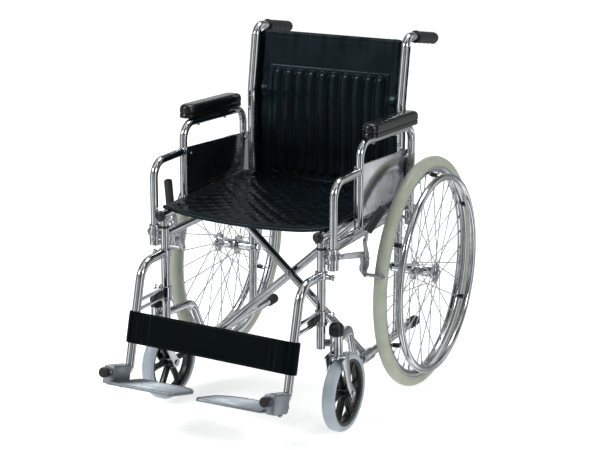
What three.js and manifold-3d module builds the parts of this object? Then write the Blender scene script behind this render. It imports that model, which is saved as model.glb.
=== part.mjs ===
// Folding manual wheelchair, millimetres, +Z up, front towards -Y.
// X is measured across the chair: "left" is the sitter's left, on +X.
// Inside the model Y = 0 is the rear axle; the whole chair is then centred on its length.
import * as THREE from "three";
import { mergeVertices } from "three/addons/utils/BufferGeometryUtils.js";
import Module from "manifold-3d";

const wasm = await Module();
wasm.setup();

// ---- clearances and mesh fineness ------------------------------------------------------
const GAP = 0.3; // between pieces that touch
const RUNNING_GAP = 0.5; // between pieces that turn past each other
const THROUGH = 90; // reach of a cut that passes right through its piece
const OVERSHOOT = 1; // how far a cut or a joint starts outside a face
const TUBE_SIDES = 10;
const HALF_SIDE = true; // sets the flats of a bore against the corners of its tube
const PIN_SIDES = 10;
const RING_SEGMENTS = 40;
const SMALL_RING_SEGMENTS = 28;
const BEND_STEP = THREE.MathUtils.degToRad(22.5);

// ---- frame -----------------------------------------------------------------------------
const TUBE_R = 11;
const FRAME_HALF = 217; // centre plane of each side frame
const BOTTOM_RAIL_Z = 120;
const UPPER_RAIL_Z = 459;
const UPPER_RAIL_R = 10;
const SEAT_RAIL_Z = 510;
const FRONT_POST_Y = -468;
const FRONT_POST_LOW = 226;
const FRONT_POST_TOP = 476;
const KINK_Z = 744;
const RECLINE = THREE.MathUtils.degToRad(9.5);
const RECLINED_LENGTH = 176;
const HANDLE_LENGTH = 192;
const HANDLE_BEND_R = 32;
const GRIP_LENGTH = 150;
const GRIP_R = TUBE_R + 4.5;
const GRIP_END_WALL = 5;
const BOTTOM_RAIL_FRONT = -278;
const BOTTOM_RAIL_REAR = 122;
const TIP_CAP_R = TUBE_R + 3.5;
const TIP_CAP_COVER = 34;
const TIP_CAP_END_WALL = 9;
const OPEN_END = { r: 9, depth: 22 }; // the hollow foot of the front post
const NECK = { r: 9, z: 240 }; // between the front post and the caster barrel
const ARCH = { r: 10, bendR: 34, front: { dy: 8, z: 236 }, shoulder: { x: 8, y: -324, z: 238 } };
const HOUSING_PROUD = 2; // axle housing and its nut beyond the back post
const HUB_SIDE_GAP = 1;

// ---- rear wheel ------------------------------------------------------------------------
const WHEEL_R = 305;
const WHEEL_X = FRAME_HALF + 75;
const TYRE_R = 17;
const RIM_SEAT_R = WHEEL_R - 27;
const RIM_INNER_R = WHEEL_R - 43;
const RIM_HALF_WIDTH = 13;
const RIM_TAPER = 4;
const HUB_FLANGE_R = 27;
const HUB_BARREL_R = 15;
const HUB_INNER_X = -28; // flange places, from the wheel's centre plane
const HUB_OUTER_X = 32;
const FLANGE_THICK = 4;
const SPOKES = 36;
const SPOKE_R = 1.3;
const SPOKE_LACING = 2.6; // crossing spokes leave opposite faces of their flange
const SPOKE_LEAN = THREE.MathUtils.degToRad(52);
const AXLE_R = 6;
const AXLE_HEAD_R = 10.5;
const AXLE_HEAD_THICK = 7;
const AXLE_HOUSING_R = 13;
const HANDRIM_R = WHEEL_R - 51;
const HANDRIM_TUBE_R = 9.5;
const HANDRIM_OFFSET = 39;
const STANDOFFS = 6;
const STANDOFF_R = 5;
const STANDOFF_RADIUS = WHEEL_R - 41;

// ---- caster ----------------------------------------------------------------------------
const CASTER_X = FRAME_HALF + 35;
const STEM_Y = FRONT_POST_Y + 14;
const CASTER_TRAIL = 45;
const CASTER_R = 100;
const CASTER_HALF_WIDTH = 16;
const CASTER_RIM_R = CASTER_R - 16;
const CASTER_HUB_R = 16;
const CASTER_HUB_HALF = 20;
const CASTER_SPOKES = 6;
const CASTER_TURN = { left: 0, right: THREE.MathUtils.degToRad(-7) }; // at rest
const FORK_ARM_THICK = 5;
const CROWN_LOW = 2 * CASTER_R + 4;
const CROWN_TOP = 210;
const BARREL_LOW = 213;
const BARREL_TOP = 263;
const BARREL_R = 16;
const STEM_R = 7.5;
const STEM_DEPTH = 38; // of the fork's stem inside the barrel
const STEM_HEADROOM = 6;
const WASHER_R = 14;
const CASTER_PIN_R = 5;
const CASTER_SPOKE_WIDTH = 15;
const CASTER_RIM_WALL = 11;
const CROWN = { rear: 24, front: -18 };
const CAP_R = 19;
const CAP_HEIGHT = 31;

// ---- armrest ---------------------------------------------------------------------------
const ARM_X = FRAME_HALF + 30;
const ARM_TUBE_R = 10;
const ARM_LOWER_R = 8;
const ARM_LEG_LOW = 433;
const ARM_LOWER_Z = 491;
const STEP_Z = 638;
const ARM_TOP_FRONT_Z = 708;
const ARM_TOP_REAR_Z = 692;
const LOOP_FRONT_Y = -318;
const LOOP_REAR_Y = 4;
const ARM_BEND_R = 42;
const SOCKET_LOW = 428;
const SOCKET_TOP = 480;
const SOCKET_R = 14;
const SOCKET_BOSS = { r: 5, low: 16, top: 12 };
const FRONT_SOCKET_Y = FRONT_POST_Y + 2;
const PAD_BEVEL = 5;
const GUARD_MARGIN = 6; // of the sheet beyond the loop's legs
const PAD_X = ARM_X + 9.5;
const PAD_HALF_WIDTH = 22.5;
const PAD_FRONT = -297;
const PAD_REAR = -23;
const PAD_HEIGHT = 36;
const GUARD_THICK = 2;
const GUARD_TOP_FRONT = 650;
const GUARD_TOP_REAR = 628;
const GUARD_LOW = 485;

// ---- wheel lock ------------------------------------------------------------------------
const LOCK_PLATE_X = FRAME_HALF + 45;
const LOCK_PLATE_THICK = 5;
const LOCK_PIVOT = { y: -318, z: 420 };
const SHOE_PIVOT = { y: -330, z: 402 };
const SHOE_Z = 374;
const SHOE_R = 5;
const LOCK_PIN_R = 5;
const LEVER_THICK = 4;
const LEVER_TOP = { y: -334, z: 478 };
const LEVER_HALF_WIDTH = 8;
const CLAMP = { low: 455, top: 469, wall: 4, inner: 6 }; // ring on the front socket
const LEVER_ROD_R = 5;
const STALK_IN_GRIP = 0.9; // share of the grip that the lever's stalk fills
const LOCK_GRIP_R = 11;
const LOCK_GRIP_LOW = { x: LOCK_PLATE_X + 15, y: -338, z: 492 };
const LOCK_GRIP_TOP = { x: LOCK_PLATE_X + 43, y: -301, z: 553 };

// ---- hanger and footrest ---------------------------------------------------------------
const HANGER_TOP_Z = 412;
const HANGER_REACH = 111; // from the post to the corner of the bend
const HANGER_BEND_R = 55;
const FOOT_TILT = THREE.MathUtils.degToRad(15.5);
const EYE_R = TUBE_R + 4.5;
const UPPER_EYE = { low: 403, top: 421 };
const LOWER_EYE = { low: 296, top: 324 };
const COLLAR = { low: 286, top: 295.5, r: TUBE_R + 4 };
const LATCH = { z: 409, r: 4, length: 18, bar: 8, barR: 3, bossR: 6.5, bossLength: 7 };
const HANGER_BOLT = { z: 317, r: 3.5, length: 20, nutR: 7, nutNear: 13, nutFar: 18 };
const STRUT_WIDTH = 10;
const STRUT_HEIGHT = 6;
const BUMPER = { rear: -20, frontLow: -66, frontHigh: -52, half: 8 };
const ELBOW_Z = 158;
const STEM_LENGTH = 70;
const TOE_TUBE_LENGTH = 118;
const ELBOW_BEND_R = 14;
const PLUG = { r: 12.8, faceR: 10.3, cover: 12, length: 18 };
const PLATE_INNER_GAP = 28; // from the chair's centre plane to the plate's inner end
const PLATE_REAR = 42; // behind the elbow, along the plate
const PLATE_FRONT = -106;
const PLATE_THICK = 8;
const BLOCK = { rear: -16, front: -94, top: 16, outer: 14.5, drop: 21 };
const STRAP_LOW = 213;
const STRAP_HEIGHT = 78;
const STRAP_THICK = 3;

// ---- brace and soft goods --------------------------------------------------------------
const BRACE_Y = -190;
const BRACE_OFFSET = TUBE_R + 0.8; // half the distance between the two crossing tubes
const SLEEVE_R = TUBE_R + 4.5;
const SLEEVE_LENGTH = 60;
const SEAT_RAIL_FRONT = FRONT_POST_Y - 15;
const SEAT_RAIL_REAR = -27;
const BRACE_BOLT_R = 5;
const PIVOT_Z = (BOTTOM_RAIL_Z + SEAT_RAIL_Z) / 2;
const SEAT_THICK = 6;
const SEAT_SAG = 12;
const SEAT_FRONT = FRONT_POST_Y + 17;
const SEAT_REAR = -16;
const SEAT_OVERHANG = 15; // beyond each seat rail's centre
const BACK_LOW = 512;
const BACK_THICK = 8;
const BACK_BELOW_CORNER = 11; // middle of the top edge below the handles, along the recline
const BACK_LIP = 3;
const CRADLE_R = 13;

// ---- finishes --------------------------------------------------------------------------
const FINISH = {
  chrome: { color: "#c9ccd0", roughness: 0.12, metalness: 1 },
  mirrorSteel: { color: "#c4c8cc", roughness: 0.08, metalness: 1 },
  zincSteel: { color: "#a9adb2", roughness: 0.35, metalness: 1 },
  castAluminium: { color: "#b7bbc0", roughness: 0.45, metalness: 1 },
  blackVinyl: { color: "#15171a", roughness: 0.42, metalness: 0 },
  blackRubber: { color: "#1a1b1d", roughness: 0.7, metalness: 0 },
  blackPlastic: { color: "#111214", roughness: 0.4, metalness: 0 },
  greenTyre: { color: "#9aa088", roughness: 0.6, metalness: 0 },
  greyTyre: { color: "#878c92", roughness: 0.6, metalness: 0 },
};

// ======================= solids from three.js geometry ==================================

/** A closed manifold solid with the same surface as a three.js geometry. */
function solidOf(geometry) {
  const bare = geometry.clone();
  bare.deleteAttribute("normal");
  bare.deleteAttribute("uv");
  const merged = mergeVertices(bare, 1e-4);
  const index = merged.index.array;
  const triangles = [];
  for (let i = 0; i < index.length; i += 3) {
    const [a, b, c] = [index[i], index[i + 1], index[i + 2]];
    if (a !== b && b !== c && c !== a) triangles.push(a, b, c);
  }
  const mesh = new wasm.Mesh({
    numProp: 3,
    vertProperties: new Float32Array(merged.attributes.position.array),
    triVerts: new Uint32Array(triangles),
  });
  return new wasm.Manifold(mesh);
}

/** The union of any number of solids. */
function join(...solids) {
  return solids.reduce((whole, next) => whole.add(next));
}

/** A solid with every tool taken away from it. */
function cut(solid, ...tools) {
  return tools.reduce((rest, tool) => rest.subtract(tool), solid);
}

/** A named mesh of one solid, with a finish of its own. */
function piece(name, solid, finish) {
  const data = solid.getMesh();
  const geometry = new THREE.BufferGeometry();
  geometry.setAttribute("position", new THREE.Float32BufferAttribute(data.vertProperties, 3));
  geometry.setIndex(Array.from(data.triVerts));
  geometry.computeVertexNormals();
  const material = new THREE.MeshStandardMaterial({ ...FINISH[finish], flatShading: true });
  const mesh = new THREE.Mesh(geometry, material);
  mesh.name = name;
  return mesh;
}

/** Radius of a many-sided bore whose flats stay clear of a pin of this radius. */
function boreRadius(pinRadius, gap = GAP, sides = PIN_SIDES) {
  return (pinRadius + gap) / Math.cos(Math.PI / sides);
}

/** A regular polygon as a three.js shape. */
function polygon(radius, sides) {
  const corners = Array.from({ length: sides }, (_, i) => {
    const angle = (2 * Math.PI * i) / sides;
    return new THREE.Vector2(radius * Math.cos(angle), radius * Math.sin(angle));
  });
  return new THREE.Shape(corners);
}

/** A path of straight runs whose corners are rounded by arcs. */
class BentPath extends THREE.Curve {
  constructor(corners, bendRadius) {
    super();
    this.places = [];
    this.directions = [];
    const last = corners.length - 1;
    const heading = (i) => corners[i + 1].clone().sub(corners[i]).normalize();
    this.addStation(corners[0], heading(0));
    for (let i = 1; i < last; i += 1) this.addBend(corners[i], heading(i - 1), heading(i), bendRadius);
    this.addStation(corners[last], heading(last - 1));
  }

  addStation(place, direction) {
    this.places.push(place.clone());
    this.directions.push(direction.clone());
  }

  addBend(corner, before, after, radius) {
    const angle = before.angleTo(after);
    const axis = before.clone().cross(after).normalize();
    const start = corner.clone().addScaledVector(before, -radius * Math.tan(angle / 2));
    const inward = axis.clone().cross(before);
    const centre = start.clone().addScaledVector(inward, radius);
    const steps = Math.max(2, Math.ceil(angle / BEND_STEP));
    for (let k = 0; k <= steps; k += 1) {
      const turn = (angle * k) / steps;
      const place = start.clone().sub(centre).applyAxisAngle(axis, turn).add(centre);
      this.addStation(place, before.clone().applyAxisAngle(axis, turn));
    }
  }

  stationAt(u) {
    return Math.round(u * (this.places.length - 1));
  }

  getPointAt(u) {
    return this.places[this.stationAt(u)].clone();
  }

  getTangentAt(u) {
    return this.directions[this.stationAt(u)].clone();
  }
}

/** A round bar or tube that follows rounded corners. */
function bentBar(corners, radius, bendRadius = 1, sides = TUBE_SIDES) {
  const path = new BentPath(corners, bendRadius);
  const steps = path.places.length - 1;
  return solidOf(new THREE.ExtrudeGeometry(polygon(radius, sides), { steps, extrudePath: path }));
}

/** A straight round bar between two points; turned half a side if asked. */
function rod(from, to, radius, sides = PIN_SIDES, halfSide = false) {
  const run = to.clone().sub(from);
  const start = halfSide ? Math.PI / sides : 0;
  const geometry = new THREE.CylinderGeometry(radius, radius, run.length(), sides, 1, false, start);
  const turn = new THREE.Quaternion().setFromUnitVectors(THREE.Object3D.DEFAULT_UP, run.normalize());
  geometry.applyQuaternion(turn);
  const middle = from.clone().add(to).multiplyScalar(0.5);
  geometry.translate(middle.x, middle.y, middle.z);
  return solidOf(geometry);
}

/** A box between two opposite corners. */
function box(low, high) {
  const size = high.clone().sub(low);
  const geometry = new THREE.BoxGeometry(Math.abs(size.x), Math.abs(size.y), Math.abs(size.z));
  const middle = low.clone().add(high).multiplyScalar(0.5);
  geometry.translate(middle.x, middle.y, middle.z);
  return solidOf(geometry);
}

/** A turned ring or knob: [radius, height] pairs going up the outside, laid along an axis. */
function turned(profile, axis, origin = new THREE.Vector3(), segments = SMALL_RING_SEGMENTS) {
  const points = profile.map(([radius, height]) => new THREE.Vector2(radius, height));
  const closed = points[0].x > 0;
  if (closed) points.push(points[0].clone());
  const geometry = new THREE.LatheGeometry(points, segments);
  geometry.applyQuaternion(new THREE.Quaternion().setFromUnitVectors(THREE.Object3D.DEFAULT_UP, axis));
  geometry.translate(origin.x, origin.y, origin.z);
  return solidOf(geometry);
}

/** Extrudes an outline that is drawn in a plane, from one distance to another along its normal. */
function slab(outline, right, up, from, to) {
  const shape = outline instanceof THREE.Shape ? outline : new THREE.Shape(outline);
  const geometry = new THREE.ExtrudeGeometry(shape, { depth: to - from, bevelEnabled: false });
  const normal = right.clone().cross(up);
  geometry.translate(0, 0, from);
  geometry.applyMatrix4(new THREE.Matrix4().makeBasis(right, up, normal));
  return solidOf(geometry);
}

const X_AXIS = new THREE.Vector3(1, 0, 0);
const Y_AXIS = new THREE.Vector3(0, 1, 0);
const Z_AXIS = new THREE.Vector3(0, 0, 1);
const v2 = (x, y) => new THREE.Vector2(x, y);
const v3 = (x, y, z) => new THREE.Vector3(x, y, z);

/** Outline in Y and Z, extruded across the chair between two X places on one side. */
function slabAcross(side, outline, xInner, xOuter) {
  const ends = [side.sign * xInner, side.sign * xOuter].sort((a, b) => a - b);
  return slab(outline, Y_AXIS, Z_AXIS, ends[0], ends[1]);
}

/** A ring around an axis with a bore that clears a tube. */
function ring(axis, low, high, outerRadius, innerRadius, segments = TUBE_SIDES) {
  const profile = [
    [outerRadius, 0],
    [outerRadius, high - low],
    [innerRadius, high - low],
    [innerRadius, 0],
  ];
  return turned(profile, axis, axis.clone().multiplyScalar(low), segments);
}

// ============================ the two sides =============================================

/** One side of the chair; at() places a point whose x is measured outward. */
class Side {
  constructor(name, sign) {
    this.name = name;
    this.sign = sign;
  }

  at(x, y, z) {
    return v3(this.sign * x, y, z);
  }

  outward() {
    return v3(this.sign, 0, 0);
  }

  label(part) {
    return `${this.name}_${part}`;
  }
}

const SIDES = [new Side("left", 1), new Side("right", -1)];

/** A group whose children are placed from a point of the chair. */
function groupAt(place, ...children) {
  const group = new THREE.Group();
  group.position.copy(place);
  group.add(...children);
  return group;
}

// ---- side frame ------------------------------------------------------------------------

/** Where the reclined upper post turns into the push handle, in the frame's own plane. */
function handleCorner() {
  return { y: RECLINED_LENGTH * Math.sin(RECLINE), z: KINK_Z + RECLINED_LENGTH * Math.cos(RECLINE) };
}

/** A point along the push handle, measured from its corner. */
function alongHandle(distance) {
  const corner = handleCorner();
  return v3(0, corner.y + distance * Math.cos(RECLINE), corner.z - distance * Math.sin(RECLINE));
}

function backPost() {
  const corner = handleCorner();
  const bends = [v3(0, 0, BOTTOM_RAIL_Z), v3(0, 0, KINK_Z), v3(0, corner.y, corner.z)];
  return bentBar([...bends, alongHandle(HANDLE_LENGTH)], TUBE_R, HANDLE_BEND_R);
}

function frontPost() {
  const bar = bentBar([v3(0, FRONT_POST_Y, FRONT_POST_LOW), v3(0, FRONT_POST_Y, FRONT_POST_TOP)], TUBE_R);
  const mouth = v3(0, FRONT_POST_Y, FRONT_POST_LOW - OVERSHOOT);
  const bore = rod(mouth, v3(0, FRONT_POST_Y, FRONT_POST_LOW + OPEN_END.depth), OPEN_END.r);
  return cut(bar, bore);
}

function casterBarrel(side) {
  const x = CASTER_X - FRAME_HALF;
  const barrel = rod(side.at(x, STEM_Y, BARREL_LOW), side.at(x, STEM_Y, BARREL_TOP), BARREL_R);
  const neck = rod(v3(0, FRONT_POST_Y, NECK.z), side.at(x, STEM_Y, NECK.z), NECK.r);
  const archPath = [
    side.at(x, STEM_Y + ARCH.front.dy, ARCH.front.z),
    side.at(ARCH.shoulder.x, ARCH.shoulder.y, ARCH.shoulder.z),
    side.at(0, BOTTOM_RAIL_FRONT + ARCH.r, BOTTOM_RAIL_Z),
  ];
  return join(barrel, neck, bentBar(archPath, ARCH.r, ARCH.bendR));
}

function stemBore(side) {
  const x = CASTER_X - FRAME_HALF;
  const top = side.at(x, STEM_Y, BARREL_LOW + STEM_DEPTH + STEM_HEADROOM);
  return rod(side.at(x, STEM_Y, BARREL_LOW - OVERSHOOT), top, boreRadius(STEM_R, RUNNING_GAP));
}

/** The tube that takes one armrest leg, tied to the post beside it by two short bosses. */
function armSocket(side, y, postY) {
  const x = ARM_X - FRAME_HALF;
  const bossHeights = [SOCKET_LOW + SOCKET_BOSS.low, SOCKET_TOP - SOCKET_BOSS.top];
  const bosses = bossHeights.map((z) => rod(v3(0, postY, z), side.at(x, y, z), SOCKET_BOSS.r));
  return join(rod(side.at(x, y, SOCKET_LOW), side.at(x, y, SOCKET_TOP), SOCKET_R), ...bosses);
}

function armSocketBore(side, y) {
  const x = ARM_X - FRAME_HALF;
  const low = side.at(x, y, SOCKET_LOW - OVERSHOOT);
  return rod(low, side.at(x, y, SOCKET_TOP + OVERSHOOT), boreRadius(ARM_TUBE_R));
}

function axleHousing(side) {
  const inner = -(TUBE_R + HOUSING_PROUD);
  const outer = WHEEL_X - FRAME_HALF + HUB_INNER_X - FLANGE_THICK - HUB_SIDE_GAP;
  return rod(side.at(inner, 0, WHEEL_R), side.at(outer, 0, WHEEL_R), AXLE_HOUSING_R);
}

function axleBore(side) {
  return rod(side.at(-THROUGH, 0, WHEEL_R), side.at(THROUGH, 0, WHEEL_R), boreRadius(AXLE_R));
}

function sideFrame(side) {
  const bottomRail = [v3(0, BOTTOM_RAIL_FRONT, BOTTOM_RAIL_Z), v3(0, BOTTOM_RAIL_REAR, BOTTOM_RAIL_Z)];
  const upperRail = [v3(0, FRONT_POST_Y, UPPER_RAIL_Z), v3(0, 0, UPPER_RAIL_Z)];
  const tubes = join(
    backPost(),
    frontPost(),
    bentBar(bottomRail, TUBE_R),
    bentBar(upperRail, UPPER_RAIL_R),
    casterBarrel(side),
    armSocket(side, FRONT_SOCKET_Y, FRONT_POST_Y),
    armSocket(side, LOOP_REAR_Y, 0),
    axleHousing(side),
  );
  const bores = [
    stemBore(side),
    armSocketBore(side, FRONT_SOCKET_Y),
    armSocketBore(side, LOOP_REAR_Y),
    axleBore(side),
  ];
  return piece(side.label("side_frame"), cut(tubes, ...bores), "chrome");
}

function pushGrip(side) {
  const start = HANDLE_LENGTH + GRIP_END_WALL - GRIP_LENGTH;
  const bore = boreRadius(TUBE_R, GAP, TUBE_SIDES);
  const length = GRIP_LENGTH;
  const depth = length - GRIP_END_WALL + GAP;
  const profile = [
    [bore, 0],
    [GRIP_R + 1.5, 0],
    [GRIP_R + 1.5, 6],
    [GRIP_R - 1, 9],
    [GRIP_R, length - 14],
    [GRIP_R - 1, length - 4],
    [GRIP_R - 4, length],
    [0, length],
    [0, depth],
    [bore, depth],
  ];
  return piece(side.label("push_grip"), cup(profile, handleDirection(), alongHandle(start)), "blackRubber");
}

function handleDirection() {
  return v3(0, Math.cos(RECLINE), -Math.sin(RECLINE));
}

/** A turned cup whose profile starts at its open rim and ends inside its bore. */
function cup(profile, axis, origin) {
  const outer = profile.slice(1, profile.length - 2);
  const [boreR, boreLow] = profile[0];
  const depth = profile[profile.length - 1][1];
  const body = turned([[0, outer[0][1]], ...outer], axis, origin, 16);
  const from = origin.clone().addScaledVector(axis, boreLow - 1);
  const to = origin.clone().addScaledVector(axis, depth);
  return cut(body, rod(from, to, boreR));
}

function tipCap(side) {
  const bore = boreRadius(TUBE_R, GAP, TUBE_SIDES);
  const length = TIP_CAP_COVER + TIP_CAP_END_WALL;
  const profile = [
    [bore, 0],
    [TIP_CAP_R - 1, 0],
    [TIP_CAP_R, 4],
    [TIP_CAP_R, length - 3],
    [TIP_CAP_R - 3, length],
    [0, length],
    [0, TIP_CAP_COVER + GAP],
    [bore, TIP_CAP_COVER + GAP],
  ];
  const origin = v3(0, BOTTOM_RAIL_REAR - TIP_CAP_COVER, BOTTOM_RAIL_Z);
  return piece(side.label("tip_cap"), cup(profile, Y_AXIS, origin), "blackRubber");
}

/** The black block on the front post in which the seat rail rests. */
function seatCradle(side) {
  const block = rod(
    v3(0, FRONT_POST_Y, FRONT_POST_TOP + GAP),
    v3(0, FRONT_POST_Y, SEAT_RAIL_Z - 3),
    CRADLE_R,
  );
  const railRoom = rod(
    v3(0, FRONT_POST_Y - 30, SEAT_RAIL_Z),
    v3(0, FRONT_POST_Y + 30, SEAT_RAIL_Z),
    boreRadius(TUBE_R, GAP, TUBE_SIDES),
  );
  return piece(side.label("seat_cradle"), cut(block, railRoom), "blackPlastic");
}

function sideFrameGroup(side) {
  return groupAt(
    side.at(FRAME_HALF, 0, 0),
    sideFrame(side),
    pushGrip(side),
    tipCap(side),
    seatCradle(side),
  );
}

// ---- rear wheel ------------------------------------------------------------------------

function tyre(side) {
  const centre = WHEEL_R - TYRE_R;
  const edge = Math.acos((RIM_SEAT_R - centre) / TYRE_R);
  const steps = 6;
  const profile = Array.from({ length: steps + 1 }, (_, i) => {
    const angle = -edge + (2 * edge * i) / steps;
    return [centre + TYRE_R * Math.cos(angle), TYRE_R * Math.sin(angle)];
  });
  const body = turned(profile, side.outward(), v3(0, 0, 0), RING_SEGMENTS);
  return piece(side.label("rear_tyre"), body, "greenTyre");
}

function rimRing(side) {
  const seat = RIM_SEAT_R - GAP;
  const profile = [
    [seat, -RIM_HALF_WIDTH],
    [seat, RIM_HALF_WIDTH],
    [RIM_INNER_R, RIM_HALF_WIDTH - RIM_TAPER],
    [RIM_INNER_R, -RIM_HALF_WIDTH + RIM_TAPER],
  ];
  return turned(profile, side.outward(), v3(0, 0, 0), RING_SEGMENTS);
}

/** Distance of the rim's sloping side from the wheel's centre plane at one radius. */
function rimFaceAt(radius) {
  const share = (radius - RIM_INNER_R) / (RIM_SEAT_R - RIM_INNER_R);
  return RIM_HALF_WIDTH - RIM_TAPER * (1 - share);
}

function hub(side) {
  const inner = HUB_INNER_X - FLANGE_THICK / 2;
  const outer = HUB_OUTER_X + FLANGE_THICK / 2;
  const profile = [
    [0, inner - 2],
    [HUB_BARREL_R - 3, inner - 2],
    [HUB_BARREL_R - 3, inner],
    [HUB_FLANGE_R, inner],
    [HUB_FLANGE_R, inner + FLANGE_THICK],
    [HUB_BARREL_R, inner + FLANGE_THICK + 3],
    [HUB_BARREL_R, outer - FLANGE_THICK - 3],
    [HUB_FLANGE_R, outer - FLANGE_THICK],
    [HUB_FLANGE_R, outer],
    [HUB_BARREL_R - 3, outer],
    [HUB_BARREL_R - 3, outer + 2],
    [0, outer + 2],
  ];
  return turned(profile, side.outward(), v3(0, 0, 0), 20);
}

/** Crossed spokes: neighbours leave opposite flanges, and pairs lean opposite ways. */
function spokeSet(side) {
  const hubRadius = HUB_FLANGE_R - 4;
  const rimRadius = RIM_INNER_R + 3;
  return Array.from({ length: SPOKES }, (_, i) => {
    const rimAngle = (2 * Math.PI * i) / SPOKES;
    const lean = Math.floor(i / 2) % 2 ? SPOKE_LEAN : -SPOKE_LEAN;
    const flangeX = (i % 2 ? HUB_INNER_X : HUB_OUTER_X) + Math.sign(lean) * SPOKE_LACING;
    const near = rimAngle + lean;
    const from = side.at(flangeX, hubRadius * Math.cos(near), hubRadius * Math.sin(near));
    const to = side.at(0, rimRadius * Math.cos(rimAngle), rimRadius * Math.sin(rimAngle));
    return rod(from, to, SPOKE_R, 3);
  });
}

function spokedWheel(side) {
  const body = join(rimRing(side), hub(side), ...spokeSet(side));
  const bore = rod(side.at(-THROUGH, 0, 0), side.at(THROUGH, 0, 0), boreRadius(AXLE_R, RUNNING_GAP));
  return piece(side.label("rear_wheel"), cut(body, bore), "chrome");
}

function handrim(side) {
  const sectionSides = 7;
  const profile = Array.from({ length: sectionSides }, (_, i) => {
    const angle = (2 * Math.PI * i) / sectionSides;
    const radius = HANDRIM_R + HANDRIM_TUBE_R * Math.cos(angle);
    return [radius, HANDRIM_OFFSET + HANDRIM_TUBE_R * Math.sin(angle)];
  });
  const hoop = turned(profile, side.outward(), v3(0, 0, 0), RING_SEGMENTS);
  const foot = rimFaceAt(STANDOFF_RADIUS + STANDOFF_R + OVERSHOOT) + GAP;
  const standoffs = Array.from({ length: STANDOFFS }, (_, i) => {
    const angle = (2 * Math.PI * (i + 0.5)) / STANDOFFS;
    const y = STANDOFF_RADIUS * Math.cos(angle);
    const z = STANDOFF_RADIUS * Math.sin(angle);
    return rod(side.at(foot, y, z), side.at(HANDRIM_OFFSET, y, z), STANDOFF_R, 8);
  });
  return piece(side.label("handrim"), join(hoop, ...standoffs), "chrome");
}

function rearWheelGroup(side) {
  return groupAt(side.at(WHEEL_X, 0, WHEEL_R), tyre(side), spokedWheel(side), handrim(side));
}

function axle(side) {
  const innerFace = FRAME_HALF - TUBE_R - HOUSING_PROUD - GAP;
  const outerFace = WHEEL_X + HUB_OUTER_X + FLANGE_THICK / 2 + 2 + RUNNING_GAP;
  const at = (x) => side.at(x, 0, 0);
  const shaft = rod(at(innerFace - 4), at(outerFace + 4), AXLE_R);
  const nut = rod(at(innerFace - AXLE_HEAD_THICK), at(innerFace), AXLE_HEAD_R, 6);
  const head = rod(at(outerFace), at(outerFace + AXLE_HEAD_THICK), AXLE_HEAD_R);
  return groupAt(v3(0, 0, WHEEL_R), piece(side.label("rear_axle"), join(shaft, nut, head), "zincSteel"));
}

// ---- caster ----------------------------------------------------------------------------

/** Outline of one fork arm in Y and Z, from the crown down to the axle. */
function forkArmOutline() {
  const endR = 13;
  const shape = new THREE.Shape();
  shape.moveTo(CROWN.front, CROWN_TOP);
  shape.lineTo(CROWN.rear, CROWN_TOP);
  shape.lineTo(CROWN.rear + 3, CROWN_LOW - 8);
  shape.quadraticCurveTo(34, 150, CASTER_TRAIL + endR, CASTER_R);
  shape.absarc(CASTER_TRAIL, CASTER_R, endR, 0, -Math.PI, true);
  shape.quadraticCurveTo(4, 140, CROWN.front, CROWN_LOW - 10);
  shape.closePath();
  return new THREE.Shape(shape.getPoints(4));
}

function casterFork(side) {
  const inner = CASTER_HUB_HALF + RUNNING_GAP;
  const outer = inner + FORK_ARM_THICK;
  const outline = forkArmOutline();
  const arms = [slabAcross(side, outline, inner, outer), slabAcross(side, outline, -outer, -inner)];
  const crown = box(v3(-outer, CROWN.front, CROWN_LOW), v3(outer, CROWN.rear, CROWN_TOP));
  const stem = rod(v3(0, 0, CROWN_LOW), v3(0, 0, BARREL_LOW + STEM_DEPTH), STEM_R);
  const washer = rod(v3(0, 0, CROWN_TOP - OVERSHOOT), v3(0, 0, BARREL_LOW - RUNNING_GAP), WASHER_R);
  const reach = outer + FORK_ARM_THICK;
  const pin = rod(v3(-reach, CASTER_TRAIL, CASTER_R), v3(reach, CASTER_TRAIL, CASTER_R), CASTER_PIN_R);
  return piece(side.label("caster_fork"), join(...arms, crown, stem, washer, pin), "chrome");
}

function casterWheel(side) {
  const rimInner = CASTER_RIM_R - CASTER_RIM_WALL;
  const rimHalf = CASTER_HALF_WIDTH - 3;
  const rim = ring(X_AXIS, -rimHalf, rimHalf, CASTER_RIM_R, rimInner, SMALL_RING_SEGMENTS);
  const boss = rod(v3(-CASTER_HUB_HALF, 0, 0), v3(CASTER_HUB_HALF, 0, 0), CASTER_HUB_R, 16);
  const spokes = Array.from({ length: CASTER_SPOKES }, (_, i) => {
    const angle = (2 * Math.PI * i) / CASTER_SPOKES;
    const length = rimInner + OVERSHOOT;
    const geometry = new THREE.BoxGeometry(CASTER_SPOKE_WIDTH, length, CASTER_SPOKE_WIDTH);
    geometry.translate(0, length / 2, 0);
    geometry.rotateX(angle);
    return solidOf(geometry);
  });
  const bore = rod(v3(-THROUGH, 0, 0), v3(THROUGH, 0, 0), boreRadius(CASTER_PIN_R, RUNNING_GAP));
  return piece(side.label("caster_wheel"), cut(join(rim, boss, ...spokes), bore), "blackPlastic");
}

function casterTyre(side) {
  const seat = CASTER_RIM_R + GAP;
  const half = CASTER_HALF_WIDTH;
  const shoulder = CASTER_R - 8;
  const profile = [
    [seat, -half],
    [shoulder, -half],
    [CASTER_R, -half / 2],
    [CASTER_R, half / 2],
    [shoulder, half],
    [seat, half],
  ];
  const body = turned(profile, X_AXIS, v3(0, 0, 0), SMALL_RING_SEGMENTS);
  return piece(side.label("caster_tyre"), body, "greyTyre");
}

function casterGroup(side) {
  const wheel = groupAt(v3(0, CASTER_TRAIL, CASTER_R), casterWheel(side), casterTyre(side));
  const group = groupAt(side.at(CASTER_X, STEM_Y, 0), casterFork(side), wheel);
  group.rotation.z = CASTER_TURN[side.name];
  return group;
}

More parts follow.
